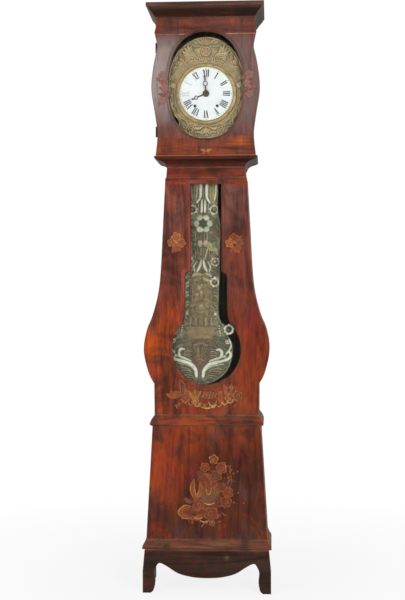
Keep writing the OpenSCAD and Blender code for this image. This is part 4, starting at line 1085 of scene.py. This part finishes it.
# Ribs of the right half, each with its half width, rise, colours to the right and left, and taper
PENDULUM_RIBS = (
    (((12, 1638), (12, 1575), (14, 1548), (25, 1530)), 6.8, 5.2, BRIGHT, BRIGHT, (1, 1, 0.8, 0.5)),
    (((6.5, 1540), (6.5, 1492)), 4.8, 4.6, BRIGHT, BRIGHT, (0.4, 1, 1, 0.8)),
    (((27, 1638), (27, 1565), (30, 1538)), 5.8, 3.6, OLIVE, PINK, (1, 1, 0.7)),
    (((38, 1634), (37, 1570), (39, 1530)), 4.6, 3.0, YELLOW, ASH, (1, 0.7, 0.9)),
    (((47, 1626), (48, 1570), (44, 1540)), 5.0, 4.0, WHITE, ASH, (0.8, 1, 0.6)),
    (((20, 1524), (19, 1502), (24, 1484)), 3.4, 3.0, ASH, ASH, (1, 0.6)),
    (((6, 1410), (8, 1396), (7, 1380)), 3.2, 2.6, STONE, STONE, (0.7, 1, 0.7)),
    (((16, 1412), (19, 1396), (17, 1378)), 3.2, 2.8, ASH, STONE, (0.7, 1, 0.7)),
    (((27, 1408), (30, 1394), (27, 1378)), 3.0, 2.8, STONE, ASH, (0.7, 1, 0.7)),
    (((5, 1348), (6, 1320)), 2.8, 2.6, STONE, ASH, (1, 0.7)),
    (((20, 1346), (12, 1314)), 3.4, 3.4, PINK, STONE, (1, 0.6)),
    (((27, 1340), (28, 1312)), 2.6, 2.6, STONE, ASH, (1, 0.7)),
    (((5, 1298), (9, 1278), (19, 1258)), 6.4, 5.0, WHITE, WHITE, (0.5, 1, 0.7)),
    (((24, 1292), (33, 1276), (28, 1256)), 4.0, 4.0, MINT, WHITE, (0.5, 1, 0.6)),
    (((19, 1258), (25, 1250), (32, 1253)), 3.4, 4.0, ASH, ASH, (1, 0.6)),
    (((2, 1266), (8, 1250)), 3.0, 2.8, SHADE, SHADE, (0.6, 1)),
    (((36, 1208), (37, 1150), (36, 1082)), 2.4, 3.0, TAN, TAN, (0.6, 1, 0.6)),
    (((44, 1194), (45, 1140), (44, 1088)), 2.0, 2.4, STONE, STONE, (1, 0.8)),
    (((0, 979), (30, 983), (58, 997), (76, 1002)), 3.4, 2.6, BROWN, BROWN, (1, 0.5)),
    (((118, 982), (121, 966), (114, 948), (102, 932)), 4.4, 4.6, WHITE, ASH, (0.6, 1, 0.7)),
    (((64, 948), (77, 949), (85, 938), (82, 922), (71, 912)), 7.0, 5.8, BRIGHT, WHITE, (0.5, 1, 0.9, 0.5)),
    (((13, 842), (17, 866), (33, 886), (60, 897), (90, 905)), 9.0, 6.6, BRIGHT, BRIGHT, (0.7, 1, 1, 0.7)),
    (((90, 905), (110, 912), (121, 928), (114, 942), (104, 936)), 6.6, 6.2, BRIGHT, WHITE, (1, 1, 0.8, 0.6)),
    (((36, 902), (56, 910), (80, 918), (98, 926)), 5.4, 5.0, WHITE, WHITE, (0.5, 1, 0.6)),
    (((24, 866), (40, 880), (66, 888), (94, 893)), 5.0, 5.2, MINT, ASH, (0.6, 1, 0.6)),
)
# Leaves of the right half: root, tip, half width, colours to the right and left, bend
PENDULUM_LEAVES = (
    ((22, 1484), (50, 1466), 7, STONE, ASH, -0.2), ((34, 1452), (56, 1432), 8, STONE, ASH, 0.15),
    ((30, 1424), (54, 1404), 8, BROWN, STONE, 0.18), ((36, 1404), (56, 1380), 8, BROWN, LEAF_GREEN, 0.1),
    ((30, 1376), (52, 1386), 6, TEAL, STONE, 0.2), ((54, 1396), (64, 1352), 7, ASH, LEAF_GREEN, 0.1),
    ((24, 1372), (42, 1340), 12, YELLOW, LEAF_GREEN, -0.1), ((44, 1352), (60, 1320), 7, PINK, OLIVE, 0.12),
    ((58, 1344), (64, 1312), 5, STONE, ASH, 0.1), ((34, 1318), (44, 1312), 5, OLIVE, OLIVE, 0.1),
    ((48, 1272), (66, 1262), 7, TEAL, LEAF_GREEN, 0.2), ((38, 1262), (62, 1244), 6, STONE, MINT, 0.1),
    ((2, 1244), (34, 1240), 7, OLIVE, YELLOW, 0.14), ((4, 1234), (34, 1222), 7, YELLOW, OLIVE, -0.14),
    ((18, 1250), (38, 1236), 6, WHITE, WHITE, 0.1), ((62, 1196), (66, 1172), 6, STONE, MINT, 0.1),
    ((84, 1032), (98, 1004), 8, LEAF_GREEN, ASH, 0.2), ((70, 998), (98, 990), 8, TEAL, ASH, 0.1),
    ((64, 980), (98, 966), 8, STONE, STONE, 0.12), ((70, 966), (96, 950), 7, TEAL, ASH, 0.12),
    ((96, 900), (122, 892), 7, LEAF_GREEN, LEAF_GREEN, 0.1),
    ((90, 886), (114, 866), 9, LEAF_GREEN, ASH, 0.12),
    ((40, 966), (62, 962), 6, STONE, STONE, 0.1), ((6, 834), (26, 818), 6, ASH, ASH, 0.1),
    ((90, 922), (104, 916), 6, MINT, MINT, 0.1),
)
# Rosettes: place, radius, lobe colours, core and eye, and the sides that have it
PENDULUM_ROSETTES = (
    ((43, 1501), 22, (WHITE, PINK, WHITE, ASH), SHADE, ASH, (-1, 1)),
    ((51, 1296), 20, (PINK, MINT, ASH, WHITE), BROWN, PINK, (-1, 1)),
    ((51, 1215), 21, (WHITE, YELLOW, BRIGHT, PINK), SHADE, TAN, (1,)),
    ((111, 1030), 22, (BRIGHT, WHITE), tone(66, 68, 50), STONE, (-1, 1)),
)


# Small domes of each half: place, half width and colour
PENDULUM_DOMES = (((56, 1090), 6, WHITE), ((57, 1072), 5, ASH), ((30, 1364), 6, YELLOW),
                  ((46, 1342), 6, ASH), ((25, 1530), 5, WHITE))
# Rows of beads in each half: path, half width, rise, colour and gap
PENDULUM_BEADS = (
    (((72, 1046), (78, 1004)), 3.4, 3.8, WHITE, 2.8), (((82, 1040), (88, 1008)), 2.8, 3.4, ASH, 2.8),
    (((15, 852), (34, 884), (62, 897), (92, 905)), 1.9, 7.0, STONE, 5.0),
    (((40, 900), (64, 910), (96, 924)), 1.6, 7.0, STONE, 5.0))
# Fruits and flowers of the panel's urn: place, half width and height, colour
URN_FLOWERS = (
    ((-10, 1192), 8, 10, SAND), ((10, 1194), 7, 9, TAN), ((-1, 1174), 8, 10, SAND), ((17, 1162), 8, 9, TAN),
    ((-18, 1164), 8, 9, SAND), ((6, 1146), 7, 8, BROWN))
# Lobes of the leaf vase in the bob: place across, top, foot, half width and colour
VASE_LOBES = ((-20, 968, 926, 8, BROWN), (20, 968, 926, 8, BROWN), (-9, 958, 912, 7, TAN),
              (9, 958, 912, 7, BROWN), (0, 930, 880, 8, BROWN))


def pendulum_half(r, side):
    """Forms of one half, in that half's colours."""
    def at(*points):
        return [(side * u, level) for u, level in points]

    for points, half, rise, right, left, taper in PENDULUM_RIBS:
        r.stroke(at(*points), half, rise, right if side > 0 else left, taper)
    for root, tip, half, right, left, bend in PENDULUM_LEAVES:
        r.leaf(*at(root, tip), half, 3.4, right if side > 0 else left, bend * side, 5)
    for place, radius, colours, core, eye, sides in PENDULUM_ROSETTES:
        if side in sides:
            r.rosette(*at(place), radius, 9, 5.0, colours, core, eye)
    # Border leaves beside the framed panel, longer on the left, then domes, fringe and beads
    first, border = (0, (ASH, STONE, TAN)) if side > 0 else (-4, (MINT, LEAF_GREEN, WHITE))
    for k in range(first, 10):
        level = 1196 - 12.5 * k
        r.leaf(*at((51, level + 4), (64, level - 7)), 4.4, 3.0, border[k % 3], 0.2 * side, 4)
    for place, half, colour in PENDULUM_DOMES:
        r.boss(*at(place), half, 4.2, colour)
    for k in range(6):
        u = 4 + 7 * k
        r.leaf(*at((u, 1074), (1.1 * u, 1042)), 4.0, 4.0, (TAN, BROWN, SAND)[k % 3], 0, 4)
    for path, half, rise, colour, gap in PENDULUM_BEADS:
        r.beads(curve(at(*path)), half, rise, colour, gap)
    r.scroll(*at((106, 982)), 11, 90 - side * 30, -side * 1.15, 3.2, 4.6, WHITE)
    for k in range(6):
        r.stroke(at((34, 945 - 7 * k), (50, 950 - 8 * k), (66, 944 - 8 * k)), 2.4, 3.0, (BROWN, ASH)[k % 2],
                 (0.6, 1, 0.5))
    for k in range(6):
        r.stroke(at((34 - 3 * k, 866 - 8 * k), (62 - 4 * k, 874 - 9 * k), (96 - 8 * k, 870 - 10 * k)),
                 3.0, 3.0, (OLIVE, ASH, STONE)[k % 3])


def pendulum_middle(r):
    """Forms on the sheet's own middle line."""
    r.rib([(0, 1638), (0, 1540)], 2.6, 3.0, STONE)
    # Dark-eyed flower of pale lobes, and the drapery under it
    eye = np.array((0, 1446))
    petals = (MINT, PALE, PALE, PALE, WHITE, MINT)
    for spot, colour in zip(around(eye, 24, 2, 302, len(petals)), petals):
        r.boss(spot, 14.5, 4.6, colour, power=0.35)
    r.flower(eye, 19, 6, 5.6, SHADE, STONE, 30)
    for place in ((-10, 1367), (12, 1369)):
        r.boss(place, 11, 4.2, PINK, 15)
    r.fan((0, 1300), 20, 40, 140, 3, 5, 3.4, (ASH, STONE))
    # Framed panel with an urn of flowers
    panel = inside_outline([(-42, 1064), (42, 1064), (40, 1212), (-40, 1212)], r.u, r.v)
    r.lay(WHOLE, panel, np.clip(panel / 12, 0, 1) * 1.6, TAN)
    r.chased(29, 90, (TAN, BROWN, TAN, BROWN, SAND), (0, 1076), (38, 1208), 1.1)
    for place, half, tall, colour in URN_FLOWERS:
        r.boss(place, half, 4.2, colour, tall)
    r.boss((-4, 1112), 23, 4.6, TAN, 27, 0.4)
    r.boss((-3, 1118), 13, 5.4, SAND, 14)
    for k in range(4):
        level = 1096 + 5 * k
        r.stroke([(-20, level), (-4, level - 6), (13, level)], 2.0, 5.0, (BROWN, OLIVE)[k % 2], (1, 1))
    for level in (1136, 1104):
        r.leaf((20, level), (29, level - 22), 6, 4.0, OLIVE, -0.2, 4)
    # Plain swell above the leaf vase, whose lobes run down to a point
    swell = inside_outline(both_sides([(0, 980), (48, 988), (64, 1014), (50, 1044)]), r.u, r.v)
    r.lay(WHOLE, swell, np.clip(swell / 28, 0, 1) ** 0.7 * 3.2, BROWN)
    calm = np.clip(swell / 10, 0, 1)[..., None]
    r.paint = r.paint * (1 - calm) + np.array(TAN) * calm
    r.leaf((0, 978), (0, 868), 42, 5.0, BROWN, 0, 3)
    for u, top, foot, half, colour in VASE_LOBES:
        r.leaf((u, top), (0.6 * u, foot), half, 6.6, colour, 0.004 * u, 4)
    for level, half in ((972, 30), (910, 15)):
        r.stroke([(-half, level - 7), (0, level), (half, level - 7)], 3.4, 6.2, TAN)
    r.leaf((0, 872), (0, 838), 8, 5.0, STONE, 0, 4)
    r.fan((0, 836), 22, -160, -20, 5, 4.6, 3.4, (ASH, STONE))


def pendulum_relief():
    """Two halves and the middle line on a chased ground, hung as the pendulum hangs at rest."""
    ground = (STONE, ASH, BROWN, OLIVE, TAN, LEAF_GREEN, STONE)
    r = Relief((-136, 808), (136, 1641), SHEET_STEP, STONE, sheet_outline(), deep=0.55)
    r.chased(5, 400, ground, (0, 815), (128, 1636), 1.6)
    r.chased(17, 130, (TAN, BROWN, TAN, OLIVE), (0, 1052), (44, 1232), 1.0)
    for side in SIDES:
        pendulum_half(r, side)
    pendulum_middle(r)
    r.edge_bead(3.0, 2.0, 2.2, ASH)
    r.piece("pressed_pendulum", SHEET_FRONT - SHEET_PROUD, SHEET_FRONT - SHEET_BACK, PAINTED_SHEET,
            "pendulum", "painted_sheet", turn=(PIVOT_Z, SWING_REST), soft=2)


pediment()
pendulum_relief()

# Carved and painted flowers on the wood
ORANGE = tone(186, 94, 46)
OCHRE = tone(158, 88, 48)
GOLD = tone(204, 144, 80)
CREAM = tone(220, 170, 118)
RUST = tone(118, 56, 34)
ROSE = tone(170, 72, 54)
BLUSH = tone(166, 96, 74)
SAGE = tone(112, 96, 74)
UMBER = tone(90, 54, 38)
INK = tone(66, 68, 62)
DUSTY = tone(150, 108, 98)
PALE_DUSTY = tone(178, 140, 120)


# Forms of the base's bouquet. Low leaves: root, tip, half width and colour
BOUQUET_LEAVES = (
    ((10, 420), (-30, 470), 18, RUST), ((20, 430), (60, 470), 18, RUST), ((0, 380), (60, 350), 22, UMBER),
    ((0, 340), (-60, 320), 22, RUST), ((10, 350), (20, 290), 26, RUST), ((40, 420), (96, 384), 20, UMBER),
    ((-10, 400), (-56, 352), 18, RUST), ((-62, 352), (-86, 370), 9, SAGE), ((-4, 464), (22, 434), 10, OCHRE),
    ((-20, 304), (-54, 286), 12, OCHRE))
# Roses: place, radius, body and stroke
BOUQUET_ROSES = (
    ((28, 522), 19, RUST, GOLD), ((-7, 490), 20, RUST, ORANGE), ((58, 487), 23, RUST, BLUSH),
    ((38, 456), 24, UMBER, OCHRE), ((84, 391), 22, RUST, OCHRE), ((76, 356), 24, UMBER, OCHRE),
    ((-32, 342), 24, RUST, BLUSH), ((18, 306), 30, RUST, BLUSH))
BOUQUET_BERRIES = ((105, 467), (122, 475), (124, 391), (107, 353), (145, 351))
BERRY_STEMS = (((92, 446), (104, 462), (120, 474)), ((96, 384), (110, 386), (124, 391)),
               ((96, 356), (108, 348), (143, 351)))
BERRY_ROWS = (((92, 470), (97, 440), (92, 408)), ((70, 452), (66, 430), (70, 412)))
# Brush strokes at the bouquet's foot and on the garland: path and colour
FOOT_STROKES = ((((-48, 322), (-20, 330), (6, 322)), BLUSH), (((-26, 281), (-10, 275), (6, 280)), CREAM),
                (((-52, 296), (-34, 288), (-14, 292)), GOLD))
GARLAND_STROKES = (
    (((-46, 740), (-38, 728), (-26, 730), (-22, 744)), GOLD),
    (((8, 744), (18, 730), (32, 732), (40, 750)), CREAM),
    (((-72, 744), (-64, 734), (-52, 738)), ORANGE), (((60, 744), (72, 736), (86, 742)), GOLD),
    (((-18, 724), (2, 719), (22, 724)), CREAM), (((-14, 740), (0, 734), (10, 738)), ORANGE))
GARLAND_LEAVES = (((-100, 760), (-40, 765), 20), ((100, 764), (40, 762), 20), ((-30, 752), (40, 748), 18))
GARLAND_ROSES = (((-45, 750), 15, OCHRE, CREAM), ((-84, 762), 15, RUST, BLUSH), ((91, 758), 19, RUST, GOLD),
                 ((122, 770), 20, RUST, GOLD))
# Roses of each trunk flower: place from its middle, radius, body and stroke
LEFT_HEADS = (((-1, 21), 19, ORANGE, CREAM), ((-19, 0), 18, OCHRE, GOLD), ((19, -2), 18, OCHRE, GOLD),
              ((0, -21), 18, ROSE, BLUSH))
RIGHT_HEADS = (((-4, 21), 17, RUST, ORANGE), ((-20, -2), 19, ORANGE, GOLD), ((17, 0), 18, OCHRE, STONE),
               ((9, -25), 17, OCHRE, ORANGE))


def carved(low, high, step=SHEET_STEP):
    """Empty ornament on bare wood."""
    return Relief(low, high, step, deep=0.6)


def fasten(r, name, front, body, finish=CARVED):
    """Finished ornament on the front of its panel."""
    r.piece(name, front, front + CARVED_BACK, finish, body, "painted_wood", pressed=False)


def bouquet_cup(r, u=8):
    """Large cup-shaped flower of the bouquet's middle."""
    r.boss((u, 392), 40, 2.6, SAGE, 50, 0.3)
    r.fan((u, 394), 46, 38, 142, 7, 8, 3.8, (OCHRE, RUST))
    for k, colour in enumerate((SAGE, OCHRE, SAGE, GOLD)):
        reach = 34 - 8 * k
        inner = 0.7 * reach
        cup = [(u - reach, 408), (u - inner, 398 - 0.8 * reach), (u, 396 - 1.35 * reach),
               (u + inner, 398 - 0.8 * reach), (u + reach, 408)]
        r.stroke(cup, 3.6, 4.0 + 0.2 * k, colour, (0.4, 1, 1.2, 1, 0.4))
    r.stroke([(-10, 350), (10, 344), (30, 351)], 3.4, 5.0, CREAM)


def bouquet_bud(r, u=-82, level=314):
    """Scrolled bud at the bouquet's lower left."""
    r.boss((u, level), 30, 3.0, RUST, 26, 0.3)
    r.boss((u + 12, level - 2), 13, 3.8, UMBER, 15)
    for scale, colour in ((1.0, GOLD), (0.74, OCHRE), (0.5, ORANGE)):
        petal = [(u + 24 * scale, level + 22 * scale), (u - 6, level + 26 * scale),
                 (u - 30 * scale, level - 2), (u - 4, level - 25 * scale),
                 (u + 26 * scale, level - 20 * scale)]
        r.stroke(petal, 3.2, 4.2, colour, (0.4, 1, 1.1, 1, 0.4))


def base_bouquet():
    """Roses, a cup-shaped flower, a bud and berries on a ground of leaves."""
    r = carved((-150, 240), (170, 560))
    for root, tip, half, colour in BOUQUET_LEAVES:
        r.leaf(root, tip, half, 1.8, colour, 0.1, 6)
    r.chased(41, 64, (OCHRE, RUST, SAGE, RUST, UMBER), (-46, 330), (96, 510), 1.2, False)
    r.chased(43, 34, (OCHRE, RUST, UMBER), (-90, 270), (70, 340), 1.2, False)
    for place, radius, body, stroke in BOUQUET_ROSES:
        r.rose(place, radius, 3.6, body, stroke, 3 * place[0])
    r.boss((40, 456), 11, 4.8, INK, 10)
    bouquet_bud(r)
    r.rib([(74, 500), (77, 474)], 3.0, 3.2, CREAM, (0.6, 1, 0.6))
    r.line = GOLD
    r.leaf((-44, 366), (-48, 446), 11, 3.8, OCHRE, 0.12, 7)
    r.leaf((-36, 370), (-26, 434), 9, 3.6, ORANGE, -0.12, 6)
    r.line = None
    bouquet_cup(r)
    for path in BERRY_ROWS:
        r.beads(curve(path), 3.2, 3.0, BLUSH, 2.6)
    for place in BOUQUET_BERRIES:
        r.boss(place, 4.2, 3.2, BLUSH)
    for path in BERRY_STEMS:
        r.stroke(path, 2.0, 2.2, UMBER, (1, 0.7))
    for path, colour in FOOT_STROKES:
        r.stroke(path, 3.2, 3.6, colour)
    r.rose((21, 271), 12, 3.4, UMBER, GOLD)
    fasten(r, "base_bouquet", BASE_FRONT, "case")


def trunk_garland():
    """Festoon of scalloped strokes under fans, roses and a basket."""
    r = carved((-165, 700), (160, 845))
    for root, tip, half in GARLAND_LEAVES:
        r.leaf(root, tip, half, 1.6, RUST, 0.05, 6)
    r.chased(47, 70, (OCHRE, RUST, OCHRE, BLUSH), (-128, 732), (124, 786), 1.2, False)
    for k in range(-4, 5):
        u, level = 4 + 22 * k, 723 + 1.2 * k * k
        scallop = [(u - 11, level + 9), (u, level - 2), (u + 11, level + 9)]
        r.stroke(scallop, 3.0, 3.6, (GOLD, CREAM, GOLD)[k % 3], (0.6, 1, 0.6))
        r.boss((u + 11, level + 11), 4.4, 3.4, GOLD)
    r.fan((-130, 760), 32, 30, 150, 4, 9, 3.2, (OCHRE, ORANGE))
    r.line = GOLD
    r.leaf((-94, 774), (-106, 832), 12, 3.6, UMBER, -0.1, 6)
    r.fan((91, 748), 72, 70, 110, 4, 9, 3.4, (RUST, BLUSH))
    r.line = None
    r.leaf((-86, 774), (-84, 820), 8, 3.4, BLUSH, 0.1, 5)
    r.fan((-72, 750), 34, 70, 175, 4, 7, 3.2, (BLUSH, OCHRE))
    r.fan((-46, 750), 46, 58, 122, 5, 8, 3.8, (GOLD, OCHRE))
    # Basket of beaded rows, and the pear-shaped bud beside it
    r.boss((12, 771), 28, 2.6, RUST, 20, 0.4)
    for k in range(-4, 5):
        u, lift = 12 + 6 * k, 14 * math.sqrt(1 - (k / 5) ** 2)
        r.beads([(u - 3, 771 - lift), (u + 3, 771 + lift)], 2.0, 3.8, (CREAM, BLUSH)[k % 2], 2.6)
    r.boss((53, 778), 13, 3.6, BLUSH, 13)
    r.leaf((53, 774), (53, 742), 11, 3.8, ORANGE, 0, 4)
    for place, radius, body, stroke in GARLAND_ROSES:
        r.rose(place, radius, 4.2, body, stroke, 5 * place[0])
    for path, colour in GARLAND_STROKES:
        r.stroke(path, 3.4, 3.8, colour)
    fasten(r, "trunk_garland", TRUNK_FRONT, "trunk_front")


def trunk_flower(name, u, level, heads):
    """Four roses over two pairs of leaves."""
    r = carved((u - 46, level - 56), (u + 46, level + 52))
    for way, lower, upper in ((-1, OCHRE, RUST), (1, RUST, OCHRE)):
        r.leaf((u, level - 18), (u + way * 15, level - 44), 7, 2.6, lower, 0.2 * way, 4)
        r.leaf((u + way * 12, level + 8), (u + way * 27, level + 27), 6, 2.6, upper, 0.1, 3)
    for (du, dv), radius, body, stroke in heads:
        r.rose((u + du, level + dv), radius, 3.8, body, stroke, 5 * du + 40)
    r.boss((u, level), 5, 4.2, CREAM)
    fasten(r, name, TRUNK_FRONT, "trunk_front")


def hood_spray(name, way, u, level, tall):
    """Faded stem of leaves and three roses beside the hood's opening."""
    r = carved((u - 34, level - 76), (u + 34, level + 76))
    stem = [(u, level - tall), (u - way * 5, level - tall / 3), (u + way * 4, level + tall / 2)]
    r.stroke(stem, 2.2, 2.4, UMBER, (1, 1))
    for k in range(9):
        height = level - tall + k * tall / 5
        lean = (-1, 1)[k % 2]
        r.leaf((u, height), (u + lean * 17, height + 14), 6, 2.6, (BLUSH, OCHRE, RUST)[k % 3], 0.15 * lean, 4)
    r.chased(53, 14, (DUSTY, BLUSH, OCHRE), (u - 20, level - tall), (u + 20, level + tall), 0.9, False)
    for du, dv, radius in ((way * 3, tall - 12, 17), (-way * 7, 2, 14), (way * 5, 12 - tall, 14)):
        r.rose((u + du, level + dv), radius, 3.6, DUSTY, PALE_DUSTY, 50 * dv)
    fasten(r, name, HOOD_FRONT, "hood_door", CARVED_DIM)


def hood_bow(u=2, level=1724):
    """Small bow under the hood's opening."""
    r = carved((-40, 1703), (44, 1747), 1.0)
    for way in SIDES:
        r.leaf((u + way * 3, level), (u + way * 21, level + 7), 6, 3.4, GOLD, 0.12 * way, 4)
        r.leaf((u + way * 3, level - 1), (u + way * 18, level - 9), 6, 3.2, ORANGE, -0.12 * way, 4)
    r.boss((u, level), 6, 4.0, OCHRE)
    fasten(r, "hood_bow", HOOD_FRONT, "hood_door")


base_bouquet()
trunk_garland()
trunk_flower("trunk_flower_left", -116, 1371, LEFT_HEADS)
trunk_flower("trunk_flower_right", 113, 1369, RIGHT_HEADS)
hood_spray("hood_spray_left", -1, -164, 1973, 60)
hood_spray("hood_spray_right", 1, 168, 1985, 50)
hood_bow()

# Stage: pale floor, white surroundings and soft studio lamps


def seen_rays(tree):
    """Mask of what camera, glass and gloss see, apart from light that has bounced off a dull surface."""
    path = tree.add("LightPath").outputs
    seen = tree.math("MAXIMUM", path["Is Camera Ray"], path["Is Transmission Ray"])
    seen = tree.math("MAXIMUM", seen, path["Is Glossy Ray"])
    return tree.math("SUBTRACT", seen, path["Diffuse Depth"], clamp=True)


def pale_floor(half=30.0, shadow_reach=4.0):
    """White floor that the camera sees brighter, while the object's shadow stays on it."""
    mesh = bpy.data.meshes.new("floor")
    corners = [(-half, -half, 0), (half, -half, 0), (half, half, 0), (-half, half, 0)]
    mesh.from_pydata(corners, [], [(0, 1, 2, 3)])
    s = Shader("pale_floor", 0.9)
    s.base = s.ramp(s.noise(3.0, 3), (0.3, 0.82), (0.7, 0.85))
    away = s.add("VectorMath", {0: s.coords}, operation="LENGTH").outputs["Value"]
    clear = s.ramp(s.math("DIVIDE", away, shadow_reach), (0.1, 0.84), (0.5, 1.0))
    glow = s.add("Emission", {"Color": (1, 1, 1), "Strength": 1.0}).outputs[0]
    blend = s.add("MixShader", {0: s.times(seen_rays(s), clear), 1: s.bsdf.outputs[0], 2: glow})
    s.feed(s.tree.nodes["Material Output"].inputs["Surface"], blend.outputs[0])
    mesh.materials.append(s.done())
    floor = put("floor", mesh)


def studio_world(ambient):
    """White surroundings for what is seen, and an even light of a lower level."""
    world = bpy.data.worlds.new("studio")
    world.use_nodes = True
    tree = Nodes(world.node_tree)
    level = tree.add("MapRange", {"Value": seen_rays(tree), "To Min": ambient, "To Max": 1.0})
    background = world.node_tree.nodes["Background"].inputs
    tree.feed(background["Color"], (1, 1, 1))
    tree.feed(background["Strength"], level.outputs[0])
    bpy.context.scene.world = world


def soft_lamp(name, place, aim, size, watts):
    """Rectangular lamp turned to its aim."""
    lamp = bpy.data.lights.new(name, "AREA")
    lamp.shape = "RECTANGLE"
    lamp.size, lamp.size_y = size
    lamp.energy = watts
    obj = put(name, lamp)
    obj.location = place
    obj.rotation_euler = (Vector(aim) - Vector(place)).to_track_quat("-Z", "Y").to_euler()


def photo_camera(place, yaw, pitch, roll, lens):
    """Camera turned by its heading, tilt and roll in radians."""
    camera = bpy.data.cameras.new("camera")
    camera.sensor_width = 36
    camera.lens = lens
    view = put("camera", camera)
    view.matrix_world = (Matrix.Translation(place) @ Matrix.Rotation(yaw, 4, "Z")
                         @ Matrix.Rotation(math.pi / 2 + pitch, 4, "X") @ Matrix.Rotation(roll, 4, "Z"))
    bpy.context.scene.camera = view


pale_floor()
studio_world(ambient=0.36)
soft_lamp("key", (2.4, -4.4, 2.9), (0, 0, 1.2), (2.2, 2.6), 150)
soft_lamp("fill", (-3.0, -3.8, 1.9), (0, 0, 1.1), (2.4, 2.6), 100)
photo_camera((0.255, -4.6, 1.1955), yaw=0.0598, pitch=-0.0112, roll=-0.003, lens=69.13)
bpy.context.scene.view_settings.view_transform = "Standard"
